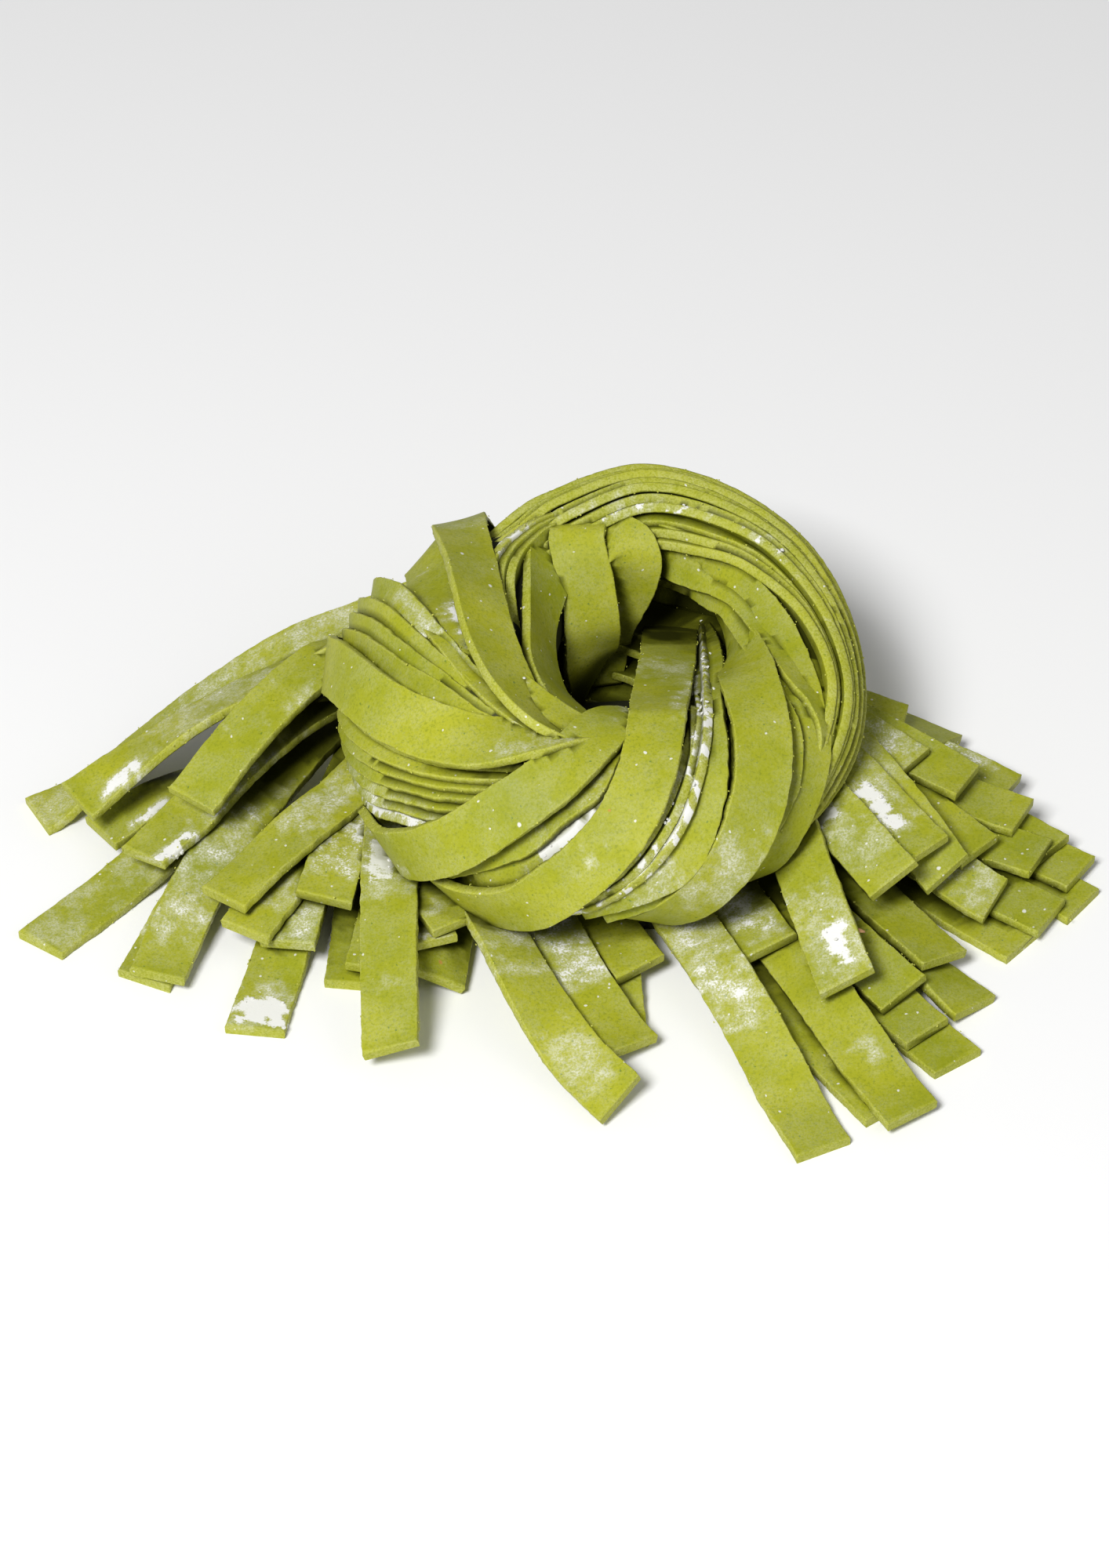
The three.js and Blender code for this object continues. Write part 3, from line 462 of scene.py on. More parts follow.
FACES_DOWN = -0.2  # height of the normal under which nothing is scattered
LUMPY_FROM = 0.72  # flour as thick as this lies in lumps
HEAP_WAVES = 1.1  # radians a millimetre of the waves that heap the lumps
HEAPED_FROM = 0.4  # height of the waves where there are any
LUMPS_TRIED = 0.5  # share of the vertices there that carry one
LUMP_RADIUS = (0.12, 0.52)  # millimetres, to the power that makes small ones common
LUMP_POWER = 1.5
CUT_EDGE_FROM = 0.6  # share of the cut edge in a vertex that may carry a crumb
CRUMBS_TRIED = 0.12  # share of those that do
CRUMB_RADIUS = (0.22, 0.42)
CRUMB_POWER = 2
LUMP_UNEVEN = 0.3  # share of the radius, for lumps and crumbs
LUMP_PRESSED = 0.45  # share of the height that is pressed away

FIBRE_MIDDLE = (28.3, -40.6, 11.8)
FIBRE_LENGTH = 2.6
FIBRE_WIDTH = 0.7
FIBRE_THICKNESS = 0.28
FIBRE_TAPER = 1.4  # width lost, by the square of the place along it from -0.5 to 0.5
FIBRE_WAVER = 0.25  # share of the width that comes and goes
FIBRE_WAVES = 9.0  # radians in the whole length
FIBRE_BOW = 0.25
FIBRE_ARC = 3.0  # radians in the whole length
FIBRE_SIDEWAYS = 0.4  # share of the bow that is level

# ---------------------------------------------------------------- patterns and stage

# Patterns of the materials: how many to the metre
BROAD_SCALE = 90.0
GRAIN_SCALE = 2400.0
CRUMB_SCALE = 3200.0
CLUMP_SCALE = 260.0
FLOUR_SCALE = 2600.0
WANDER_SCALE = 900.0
WANDER = 0.7  # how far the specks' outlines are moved
# Specks: cells to the metre, radius as a share of a cell, share of the cells with one, strength
LEAF_SPECKS = (760.0, 0.15, 0.25, 0.8)
ORANGE_SPECKS = (130.0, 0.045, 0.10, 0.7)
SMALL_DOTS = (620.0, 0.14, 0.28, 0.75)
LARGE_DOTS = (240.0, 0.09, 0.10, 0.8)
MIX_AMOUNT, MIX_UNDER, MIX_OVER = 0, 6, 7  # inputs of a node that mixes colours
MIXED = 2  # and its output
SPECK_CORE = 0.6  # share of a speck's radius with its full colour
DEEPEST_PAINTED_SHADE = 0.94  # share of the near-black inside colour painted as shade on the most sheltered dough
FLOUR_SHADE = 0.8  # the darker of loose flour's two tones

# The stage, in metres: name of a light, its place, power in watts, size
LIGHTS = [("key_light", (-0.36, -0.70, 0.95), 15.5, 0.34), ("fill_light", (0.5, -0.3, 0.5), 0.5, 0.4)]
LIT_POINT = (0, 0, 0.02)
ROOM_LIGHT = 0.21
FLOOR_SIZE = 6
CAMERA_TARGET = (-0.14, 19.77, 2.5)  # in millimetres from the frame's origin
NEAREST_SEEN = 0.01


# ---------------------------------------------------------------- curves

def unit(vectors):
    """Each row at length 1."""
    return vectors / np.maximum(np.linalg.norm(vectors, axis=-1, keepdims=True), 1e-9)


def smoothstep(x):
    """From 0 at x = 0 to 1 at x = 1, level at both ends."""
    f = np.clip(x, 0, 1)
    return f * f * (3 - 2 * f)


def catmull_rom(p0, p1, p2, p3, f):
    """The smooth curve's point at share f of the way from p1 to p2."""
    linear, square, cube = p2 - p0, 2 * p0 - 5 * p1 + 4 * p2 - p3, 3 * p1 - p0 - 3 * p2 + p3
    return 0.5 * (2 * p1 + linear * f + square * f**2 + cube * f**3)


def spline(rows, places):
    """A smooth curve through rows of numbers, at places from 0 to len(rows) - 1."""
    padded = np.vstack([2 * rows[0] - rows[1], rows, 2 * rows[-1] - rows[-2]])
    i = np.clip(places.astype(int), 0, len(rows) - 2)
    return catmull_rom(*(padded[i + k] for k in range(4)), (places - i)[:, None])


def distances(points):
    """How far each point lies along the line through them all."""
    return np.r_[0, np.cumsum(np.linalg.norm(np.diff(points, axis=0), axis=1))]


def even_spots(length, step):
    """Places from 0 to length, about a step apart."""
    return np.linspace(0, length, max(FEWEST_STEPS, int(length / step)) + 1)


def tube(u, v, lift=0.0):
    """The point at u, v on the coil's tube, and the tube's middle beside it."""
    place = (u % 360) / 360 * len(RING_STATIONS)
    i = int(place)
    near = [RING_STATIONS[(i + k) % len(RING_STATIONS)] for k in (-1, 0, 1, 2)]
    reach, height, radius = catmull_rom(*near, place - i)
    around, across = math.radians(u), math.radians(v)
    outward = np.array([math.cos(around), math.sin(around), 0.0])
    heart = outward * reach + (0, 0, height)
    radius += lift
    return heart + outward * radius * math.cos(across) + (0, 0, radius * math.sin(across)), heart


# ---------------------------------------------------------------- ribbons' paths

def band_path(points, tilt, side, width, thickness, step):
    """Middle, wide and face directions of a band, evenly spaced along it."""
    rows = []
    for i, place in enumerate(points):
        if place[0] == "on":
            point, heart = tube(*place[1:])
        else:
            point = np.array(place[1:4], float)
            heart = point + place[4:]
        share = i / (len(points) - 1)
        rows.append([*point, *heart, np.interp(share, np.linspace(0, 1, len(tilt)), tilt)])
    rows = np.array(rows)
    fine = spline(rows, np.linspace(0, len(rows) - 1, FINE_STEPS * (len(rows) - 1) + 1))
    along = distances(fine[:, :3])
    spots = even_spots(along[-1], step)
    fine = np.stack([np.interp(spots, along, fine[:, k]) for k in range(fine.shape[1])], 1)
    middle, angle = fine[:, :3], np.radians(fine[:, 6:])
    tangent = unit(np.gradient(middle, axis=0))
    out = middle - fine[:, 3:6]
    out = unit(out - np.sum(out * tangent, 1, keepdims=True) * tangent)
    across = np.cross(tangent, out)
    if side == 0:
        wide = across * np.cos(angle) + out * np.sin(angle)
    else:
        wide = side * across * np.cos(angle) - out * np.sin(angle)
    wide = unit(wide)
    face = np.cross(wide, tangent)
    face = face * np.where(np.sum(face * out, 1, keepdims=True) < 0, -1, 1)
    if side != 0:
        middle = middle + wide * width / 2 - face * thickness / 2
    return middle, wide, face


class Pile:
    """The heights of the tails laid so far, on a grid over the table."""

    def __init__(self):
        self.counts = [round(length / PILE_CELL) for length in PILE_SIZE]
        self.heights = np.zeros(self.counts)

    def cell(self, places):
        """The grid's cell under each place."""
        i = np.rint((places[..., 0] - PILE_LOW[0]) / PILE_CELL).astype(int)
        j = np.rint((places[..., 1] - PILE_LOW[1]) / PILE_CELL).astype(int)
        return np.clip(i, 0, self.counts[0] - 1), np.clip(j, 0, self.counts[1] - 1)

    def drape(self, under, slope, spots):
        """The heights of one edge of a tail, bent over what is under it."""
        held = np.maximum(np.where(under > 0, under + PILE_GAP, 0), slope)
        lying = (held[None, :] - DRAPE * (spots[:, None] - spots[None, :]) ** 2).max(1)
        for _ in range(SMOOTHING_PASSES):
            ends = np.r_[lying[0], lying, lying[-1]]
            lying = np.maximum(np.convolve(ends, [0.25, 0.5, 0.25], "valid"), 0)
        return lying

    def lay(self, width, thickness, x, y, heading, turn, length, buried_height, tuck=0.0):
        """Middle, wide and face directions of a tail from its tip, settled on the pile."""
        count = int(length)
        spots = np.linspace(0, length, count + 1)
        tucked = tuck * np.clip((spots - length + TUCK_LENGTH) / TUCK_LENGTH, 0, 1)
        angle = np.radians(heading + turn * spots / length + tucked)
        ahead = np.stack([np.cos(angle), np.sin(angle)], 1)
        back = (ahead[1:] + ahead[:-1]) / 2 * (length / count)
        line = np.array([x, y]) - np.vstack([[0, 0], np.cumsum(back, 0)])
        beside = np.stack([-ahead[:, 1], ahead[:, 0]], 1)
        feelers = np.linspace(-0.5, 0.5, 2 * FEELERS + 1)
        felt = self.heights[self.cell(line[:, None] + beside[:, None] * feelers[None, :, None] * width)]
        climb = np.clip((spots / length - CLIMB_START) / (1 - CLIMB_START), 0, 1)
        slope = buried_height * (climb + (smoothstep(climb) - climb) * CLIMB_EASE)
        right = self.drape(felt[:, :FEELERS + 1].max(1), slope, spots)
        left = self.drape(felt[:, FEELERS:].max(1), slope, spots)
        top = np.maximum(left, right)
        low = np.maximum(np.minimum(left, right), top - MAX_ROLL)
        buried = smoothstep((spots / length - LEAVES_PILE) / (1 - LEAVES_PILE))
        right_edge = np.where(right > left, top, low) * (1 - buried) + slope * buried
        left_edge = np.where(right > left, low, top) * (1 - buried) + slope * buried
        self.raise_under(line, beside, right_edge, left_edge, width, thickness)
        middle = np.c_[line, (right_edge + left_edge + thickness) / 2]
        tangent = unit(np.gradient(middle, axis=0))
        wide = np.c_[beside, (left_edge - right_edge) / width]
        wide = unit(wide - np.sum(wide * tangent, 1, keepdims=True) * tangent)
        face = np.cross(tangent, wide)
        return middle, wide, face * np.where(face[:, 2:] < 0, -1, 1)

    def raise_under(self, line, beside, right_edge, left_edge, width, thickness):
        """Raises the grid to the top of a tail, except where it is buried."""
        share = np.linspace(0, 1, POINTS_ACROSS)
        kept = int((len(line) - 1) * CARRIES)
        places = line[:, None] + beside[:, None] * ((share - 0.5) * width)[None, :, None]
        tops = right_edge[:, None] * (1 - share) + left_edge[:, None] * share + thickness
        places = np.concatenate([places[:kept], (places[1:kept + 1] + places[:kept]) / 2])
        tops = np.concatenate([tops[:kept], (tops[1:kept + 1] + tops[:kept]) / 2])
        np.maximum.at(self.heights, self.cell(places), tops)


def rolled(path, degrees):
    """The same ribbon turned about its length, with its tip left flat."""
    middle, wide, face = path
    rise = smoothstep(np.linspace(0, 1 / ROLLED_AT, len(middle)))
    turn = math.radians(degrees) * rise[:, None]
    return middle, wide * np.cos(turn) + face * np.sin(turn), face * np.cos(turn) - wide * np.sin(turn)


def resample(path, step):
    """The same ribbon with its stations a step apart, on smooth curves."""
    middle, wide, face = path
    along = distances(middle)
    places = np.interp(even_spots(along[-1], step), along, np.arange(len(middle)))
    return spline(middle, places), unit(spline(wide, places)), unit(spline(face, places))


# ---------------------------------------------------------------- ribbon meshes

def smooth_noise(rng, count, span):
    """Random numbers from -1 to 1 that change smoothly over span samples."""
    knots = rng.uniform(-1, 1, int(count / span) + 3)
    place = np.arange(count) / span
    i = place.astype(int)
    f = smoothstep(place - i)
    return knots[i] * (1 - f) + knots[i + 1] * f


def within(x, low, high, fade):
    """1 between low and high, and 0 outside, with a smooth fade of this length."""
    return smoothstep((x - low) / fade + 0.5) * smoothstep((high - x) / fade + 0.5)


def flour_on(name, points, share, place, depth):
    """How much flour lies on each vertex of a ribbon: 0 is none, and 1 or more covers the dough."""
    amount = np.full(len(points), DUSTING)
    uneven = np.sin(points @ FLOUR_WAVES.T + np.arange(len(FLOUR_WAVES))).mean(1)
    for start, end, low, high, thickest in FLOUR.get(name, ()):
        patch = within(share, start, end, PATCH_ENDS) * within(place, low, high, PATCH_SIDES)
        laid = smoothstep(patch * PATCH_GAIN - PATCH_LOSS + uneven * PATCH_WAVER)
        amount = np.maximum(amount, thickest * laid)
    return np.where(depth > UNDERSIDE, amount, DUSTING)


def ribbon_mesh(name, path, sizes, rng):
    """Vertices, faces and the attributes of one ribbon with crumbly cut edges."""
    middle, wide, face = path
    n, m = len(middle), len(SECTION)
    width, thickness, rough = sizes.width / MM, sizes.thickness / MM, sizes.raggedness / MM
    stations = 1 / (sizes.step / MM)  # for each millimetre
    breadth = 1 + WIDTH_WAVER * smooth_noise(rng, n, WIDTH_SPAN * stations)
    wave = WAVE_HEIGHT * smooth_noise(rng, n, WAVE_SPAN * stations)
    place, inset, depth, edge = SECTION.T
    shift = place * (width / 2) * breadth[:, None] + inset
    lift = depth * thickness / 2 + wave[:, None]
    for side in (-1, 1):
        torn = sum(share * smooth_noise(rng, n, span * stations) for span, share in TORN_WAVES)
        shift += rough * torn[:, None] * (edge * (place * side > 0))
    shift += rng.uniform(-1, 1, (n, m)) * rough * CRUMBLED_ACROSS * edge
    lift += rng.uniform(-1, 1, (n, m)) * rough * CRUMBLED_THROUGH * edge
    slant = np.zeros((n, 1))
    slant[0] = math.tan(math.radians(rng.uniform(-TIP_SLANT, TIP_SLANT)))
    tangent = unit(np.gradient(middle, axis=0))
    points = (
        middle[:, None] + wide[:, None] * shift[..., None] + face[:, None] * lift[..., None]
        + tangent[:, None] * (slant * shift)[..., None]
    )
    points = points.reshape(-1, 3)
    station = np.arange(n - 1)[:, None] * m
    corner = station + np.arange(m)
    beside = station + (np.arange(m) + 1) % m
    quads = np.stack([corner, corner + m, beside + m, beside], -1).reshape(-1, 4)
    caps = [[*range(m)], [*range((n - 1) * m, n * m)][::-1]]
    if np.sum(np.cross(tangent, wide) * face) <= 0:
        quads = quads[:, ::-1]
        caps = [cap[::-1] for cap in caps]
    cut_edge = np.tile(edge, (n, 1))
    cut_edge[[0, -1]] = 1
    shares = np.repeat(np.linspace(0, 1, n), m)
    return {
        "points": points, "quads": quads, "caps": caps, "cut_edge": cut_edge.ravel(),
        "flour": flour_on(name, points, shares, np.tile(place, n), np.tile(depth, n)),
        "tone": np.full(n * m, rng.uniform(0, TONES)),
    }


def new_piece(name, places, faces):
    """A piece from places in metres, with none of them under the table."""
    places[:, 2] = np.maximum(places[:, 2], 0)
    mesh = bpy.data.meshes.new(name)
    mesh.from_pydata(places.tolist(), [], faces)
    mesh.update()
    piece = bpy.data.objects.new(name, mesh)
    bpy.context.scene.collection.objects.link(piece)
    return piece


def give_vertices(piece, key, amounts):
    """Gives each vertex a number, for the material to read."""
    layer = piece.data.attributes.new(key, "FLOAT", "POINT")
    layer.data.foreach_set("value", amounts.astype(np.float32))


def join_ribbons(name, ribbons):
    """One piece from many ribbons, with smooth faces and flat cut ends."""
    faces, smooth, first = [], [], 0
    for ribbon in ribbons:
        faces += (ribbon["quads"] + first).tolist()
        faces += [[k + first for k in cap] for cap in ribbon["caps"]]
        smooth += [True] * len(ribbon["quads"]) + [False] * len(ribbon["caps"])
        first += len(ribbon["points"])
    places = (np.concatenate([ribbon["points"] for ribbon in ribbons]) + NEST_SHIFT) * MM
    piece = new_piece(name, places, faces)
    piece.data.polygons.foreach_set("use_smooth", smooth)
    for key in ("cut_edge", "tone", "flour"):
        give_vertices(piece, key, np.concatenate([ribbon[key] for ribbon in ribbons]))
    return piece


def show(piece, material):
    """Gives a piece its material and its place in the frame."""
    piece.data.materials.clear()
    piece.data.materials.append(material)
    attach(piece, BODY)
    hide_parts(NODE)


def band_piece(piece_name, bands, settings):
    """One piece from some of the coil's bands, each with random draws of its own."""
    sizes = settings.ribbon
    width, thickness, step = sizes.width / MM, sizes.thickness / MM, sizes.step / MM
    ribbons = []
    for number, (name, points, tilt, side) in enumerate(bands):
        rng = np.random.default_rng([settings.seed, len(piece_name), number])
        path = band_path(points, tilt, side, width, thickness, step)
        ribbons.append(ribbon_mesh(name, path, sizes, rng))
    show(join_ribbons(piece_name, ribbons), dough_material(settings))


# ---------------------------------------------------------------- crumbs and lumps

def dough_pieces():
    """The pieces that are made of ribbons."""
    return [ob for ob in bpy.data.objects if "tone" in getattr(ob.data, "attributes", {})]


def vertex_rows(mesh, key):
    """Coordinates or normals of all vertices, as rows."""
    rows = np.zeros(len(mesh.vertices) * 3, np.float32)
    mesh.vertices.foreach_get(key, rows)
    return rows.reshape(-1, 3)


def dough_vertices(key):
    """Places in millimetres, normals and one attribute of the ribbons' vertices that don't face down."""
    places, normals, amounts = [], [], []
    for piece in dough_pieces():
        amount = np.zeros(len(piece.data.vertices), np.float32)
        piece.data.attributes[key].data.foreach_get("value", amount)
        places.append(vertex_rows(piece.data, "co") / MM)
        normals.append(vertex_rows(piece.data, "normal"))
        amounts.append(amount)
    places, normals, amounts = (np.concatenate(rows) for rows in (places, normals, amounts))
    upward = normals[:, 2] > FACES_DOWN
    return places[upward], normals[upward], amounts[upward]


def scatter(name, places, normals, radii, rng, material):
    """One piece from many uneven lumps of 20 faces, pressed flat along the normals."""
    bpy.ops.object.select_all(action="DESELECT")
    bpy.ops.mesh.primitive_ico_sphere_add(subdivisions=1, radius=1, location=(0, 0, 0))
    pattern = bpy.context.object
    ball = np.array([vertex.co[:] for vertex in pattern.data.vertices])
    triangles = np.array([face.vertices[:] for face in pattern.data.polygons])
    bpy.data.objects.remove(pattern)
    count = len(places)
    uneven = 1 + rng.uniform(-LUMP_UNEVEN, LUMP_UNEVEN, (count, len(ball), 1))
    shape = ball[None] * uneven * radii[:, None, None]
    pressed = np.sum(shape * normals[:, None], 2, keepdims=True) * normals[:, None] * LUMP_PRESSED
    points = places[:, None] + rng.normal(0, 1, (count, 1, 3)) * radii[:, None, None] + shape - pressed
    faces = triangles[None] + (np.arange(count) * len(ball))[:, None, None]
    show(new_piece(name, points.reshape(-1, 3) * MM, faces.reshape(-1, 3).tolist()), material)


# ---------------------------------------------------------------- shelter from the light, painted as shade

def sphere_directions(count):
    """Directions spread evenly over a sphere."""
    k = np.arange(count) + 0.5
    height = 1 - 2 * k / count
    turn = math.pi * (1 + math.sqrt(5)) * k
    ring = np.sqrt(1 - height**2)
    return np.stack([ring * np.cos(turn), ring * np.sin(turn), height], 1)


def hollow_shade(places):
    """How much painted shade each place gets from lying in a hollow, from 0 to 1."""
    nest = places / MM - NEST_SHIFT
    amounts = [
        smoothstep((radius - np.linalg.norm(nest - (x, y, z), axis=1)) / fade)
        for x, y, z, radius, fade in SHADED_HOLLOWS
    ]
    return np.max(amounts, 0)


def sheltered(tree, mesh):
    """The share of each vertex's outlook that other dough stops, from 0 to 1."""
    directions = sphere_directions(SHELTER_RAYS)
    normals = vertex_rows(mesh, "normal")
    starts = vertex_rows(mesh, "co") + normals * RAY_START * MM
    weights = normals @ directions.T
    rays = [Vector(direction) for direction in directions]
    stopped = np.zeros(len(starts))
    for i, start in enumerate(starts.tolist()):
        for k in np.flatnonzero(weights[i] > LOWEST_RAY):
            if tree.ray_cast(start, rays[k], SHELTER_REACH * MM)[0] is not None:
                stopped[i] += weights[i, k]
    return stopped / np.where(weights > LOWEST_RAY, weights, 0).sum(1)


# ---------------------------------------------------------------- materials

def feed(tree, value, socket):
    """Links a shader socket to another one, or sets it to a number or a plain colour."""
    if isinstance(value, bpy.types.NodeSocket):
        tree.links.new(value, socket)
    elif isinstance(value, (int, float)):
        socket.default_value = value
    else:
        socket.default_value = (*value, 1)


def add_node(tree, kind, **values):
    """A shader node with its settings and inputs given by name."""
    node = tree.nodes.new(kind)
    for key, value in values.items():
        if hasattr(node, key):
            setattr(node, key, value)
        else:
            feed(tree, value, node.inputs[key.replace("_", " ")])
    return node


def new_material(name):
    """A new material, its nodes and its main shader."""
    material = bpy.data.materials.new(name)
    material.use_nodes = True
    return material, material.node_tree, material.node_tree.nodes["Principled BSDF"]


def plain_material(name, colour, roughness):
    """One colour all over."""
    if name in bpy.data.materials:
        return bpy.data.materials[name]
    material, tree, shader = new_material(name)
    feed(tree, colour, shader.inputs["Base Color"])
    feed(tree, roughness, shader.inputs["Roughness"])
    return material


def noise(tree, place, scale, detail=2.0, roughness=0.5):
    """Noise whose patches are 1/scale metres."""
    return add_node(
        tree, "ShaderNodeTexNoise", Vector=place, Scale=scale, Detail=detail, Roughness=roughness,
    )


def remap(tree, value, low, high, to_low=0.0, to_high=1.0):
    """The value's range low to high made to_low to to_high, with smooth ends."""
    return add_node(
        tree, "ShaderNodeMapRange", interpolation_type="SMOOTHSTEP", Value=value,
        From_Min=low, From_Max=high, To_Min=to_low, To_Max=to_high,
    ).outputs["Result"]


def calculate(tree, operation, a, b):
    """One sum of two sockets or numbers."""
    node = add_node(tree, "ShaderNodeMath", operation=operation)
    feed(tree, a, node.inputs[0])
    feed(tree, b, node.inputs[1])
    return node.outputs[0]


def add(tree, a, b):
    return calculate(tree, "ADD", a, b)


def multiply(tree, a, b):
    return calculate(tree, "MULTIPLY", a, b)


def larger(tree, a, b):
    return calculate(tree, "MAXIMUM", a, b)


def tint(tree, under, colour, amount):
    """A colour or colour socket, with a plain colour laid over it by amount."""
    node = add_node(tree, "ShaderNodeMix", data_type="RGBA")
    feed(tree, amount, node.inputs[MIX_AMOUNT])
    feed(tree, under, node.inputs[MIX_UNDER])
    feed(tree, colour, node.inputs[MIX_OVER])
    return node.outputs[MIXED]


def noise_offset(tree, place, scale, reach):
    """The place moved about by noise, so that what is drawn there has uneven outlines."""
    moved = add_node(tree, "ShaderNodeVectorMath", operation="MULTIPLY_ADD")
    feed(tree, noise(tree, place, scale).outputs["Color"], moved.inputs[0])
    moved.inputs[1].default_value = (reach, reach, reach)
    feed(tree, place, moved.inputs[2])
    return moved.outputs["Vector"]


def specks(tree, place, scale, radius, share, strength):
    """Specks in cells of 1/scale metres: radius is a share of a cell, share that of cells with one."""
    cells = add_node(tree, "ShaderNodeTexVoronoi", Vector=place, Scale=scale)
    inside = remap(tree, cells.outputs["Distance"], radius, radius * SPECK_CORE)
    drawn = add_node(tree, "ShaderNodeSeparateColor", Color=cells.outputs["Color"])
    chosen = calculate(tree, "GREATER_THAN", drawn.outputs["Red"], 1 - share)
    return multiply(tree, multiply(tree, inside, chosen), strength)


def attribute(tree, name):
    return add_node(tree, "ShaderNodeAttribute", attribute_name=name).outputs["Fac"]


def bump(tree, height, shader, strength, depth):
    """Roughness of the surface, with its full depth in metres."""
    node = add_node(tree, "ShaderNodeBump", Strength=strength, Distance=depth, Height=height)
    feed(tree, node.outputs["Normal"], shader.inputs["Normal"])


def dough_material(settings):
    """Green dough with grain, specks, crumbly edges and flour, and painted shade where it is sheltered or
    hollow.
    """
    name = "green_dough"
    if name in bpy.data.materials:
        return bpy.data.materials[name]
    material, tree, shader = new_material(name)
    colours = settings.dough
    place = add_node(tree, "ShaderNodeTexCoord").outputs["Object"]
    broad = noise(tree, place, BROAD_SCALE, 3.0).outputs["Fac"]
    grain = noise(tree, place, GRAIN_SCALE, 3.0, 0.7).outputs["Fac"]
    crumb = noise(tree, place, CRUMB_SCALE, 2.0, 0.6).outputs["Fac"]
    clumps = noise(tree, place, CLUMP_SCALE, 5.0, 0.68).outputs["Fac"]
    wander = noise_offset(tree, place, WANDER_SCALE, WANDER * MM)

    # the rolled face: each ribbon has its own tone, mottled and grained
    mottled = add(tree, remap(tree, broad, 0.3, 0.7, 0.0, 0.6), attribute(tree, "tone"))
    colour = tint(tree, colours.shade, colours.face, mottled)
    colour = tint(tree, colour, colours.grain, remap(tree, grain, 0.52, 0.30, 0.0, 0.6))
    colour = tint(tree, colour, colours.edge, remap(tree, grain, 0.58, 0.76, 0.0, 0.35))
    colour = tint(tree, colour, colours.speck, specks(tree, wander, *LEAF_SPECKS))
    colour = tint(tree, colour, colours.orange, specks(tree, wander, *ORANGE_SPECKS))

    # the cut edge is rougher and paler
    edge = attribute(tree, "cut_edge")
    broken = multiply(tree, edge, remap(tree, crumb, 0.35, 0.62, 0.1, 0.6))
    colour = tint(tree, colour, colours.edge, broken)

    # flour: clumps, a film of powder round them, and dots everywhere; little of it where shade is painted
    amount = attribute(tree, "flour")
    spread = add(tree, multiply(tree, clumps, 0.66), multiply(tree, crumb, 0.34))
    covered = remap(tree, add(tree, spread, multiply(tree, amount, 0.6)), 0.80, 0.96)
    powder = multiply(tree, amount, remap(tree, crumb, 0.38, 0.60, 0.4, 1.2))
    film = multiply(tree, remap(tree, clumps, 0.36, 0.64, 0.1, 1.0), powder)
    dots = larger(tree, specks(tree, wander, *SMALL_DOTS), specks(tree, wander, *LARGE_DOTS))
    shade_amount = attribute(tree, "painted_shade")
    flour = larger(tree, larger(tree, covered, film), dots)
    flour = multiply(tree, flour, calculate(tree, "SUBTRACT", 1.0, shade_amount))
    colour = tint(tree, colour, colours.flour, flour)
    # painted shade: the near-black inside colour laid over sheltered dough and the hollows
    colour = tint(tree, colour, colours.inside, multiply(tree, shade_amount, DEEPEST_PAINTED_SHADE))
    feed(tree, colour, shader.inputs["Base Color"])
    feed(tree, remap(tree, flour, 0.0, 0.6, 0.52, 0.9), shader.inputs["Roughness"])
    feed(tree, 0.14, shader.inputs["Specular IOR Level"])

    rough_edge = multiply(tree, crumb, add(tree, 0.2, multiply(tree, edge, 0.6)))
    height = add(tree, multiply(tree, grain, 0.4), rough_edge)
    height = add(tree, height, multiply(tree, flour, 0.6))
    bump(tree, height, shader, 0.4, 0.1 * MM)
    return material


def flour_material(settings):
    """Loose flour."""
    name = "loose_flour"
    if name in bpy.data.materials:
        return bpy.data.materials[name]
    material, tree, shader = new_material(name)
    place = add_node(tree, "ShaderNodeTexCoord").outputs["Object"]
    grain = noise(tree, place, FLOUR_SCALE, 2.0, 0.6).outputs["Fac"]
    colour = settings.dough.flour
    darker = [FLOUR_SHADE * part for part in colour]
    feed(tree, tint(tree, darker, colour, grain), shader.inputs["Base Color"])
    feed(tree, 0.95, shader.inputs["Roughness"])
    bump(tree, grain, shader, 0.5, 0.08 * MM)
    return material


def crumb_material(settings):
    """Loose crumbs of dough."""
    return plain_material("dough_crumbs", settings.dough.edge, 0.9)


def fibre_material(settings):
    """Brown plant fibre."""
    return plain_material("brown_fibre", settings.dough.fibre, 0.8)


def core_painted_shade_material(settings):
    """Plain near-black dough inside the coil and under it, painted as shade."""
    return plain_material("inner_dough", settings.dough.inside, 0.8)


def floor_material(settings):
    """The plain pale floor."""
    return plain_material("pale_floor", settings.stage.floor, 0.9)


# ---------------------------------------------------------------- settings

def length_setting(name, description, default, low, high):
    """A length that can be set in the panel, from millimetres."""
    return bpy.props.FloatProperty(
        name=name, description=description, default=default * MM, min=low * MM, max=high * MM,
        unit="LENGTH",
    )


def colour_setting(name, description, *default):
    """A colour that can be set in the panel."""
    return bpy.props.FloatVectorProperty(
        name=name, description=description, default=default, subtype="COLOR", size=3, min=0, max=1,
    )


class RibbonSizes(bpy.types.PropertyGroup):
    """Sizes of one ribbon."""

    width: length_setting("Ribbon width", "Width of one ribbon", 8, 4, 12)
    thickness: length_setting("Ribbon thickness", "Thickness of the rolled dough", 1.4, 0.8, 2.5)
    step: length_setting("Mesh step", "Length of one step of a ribbon's mesh", 0.6, 0.3, 3)
    raggedness: length_setting("Ragged edge", "How far the cut edges wander", 0.08, 0, 0.5)


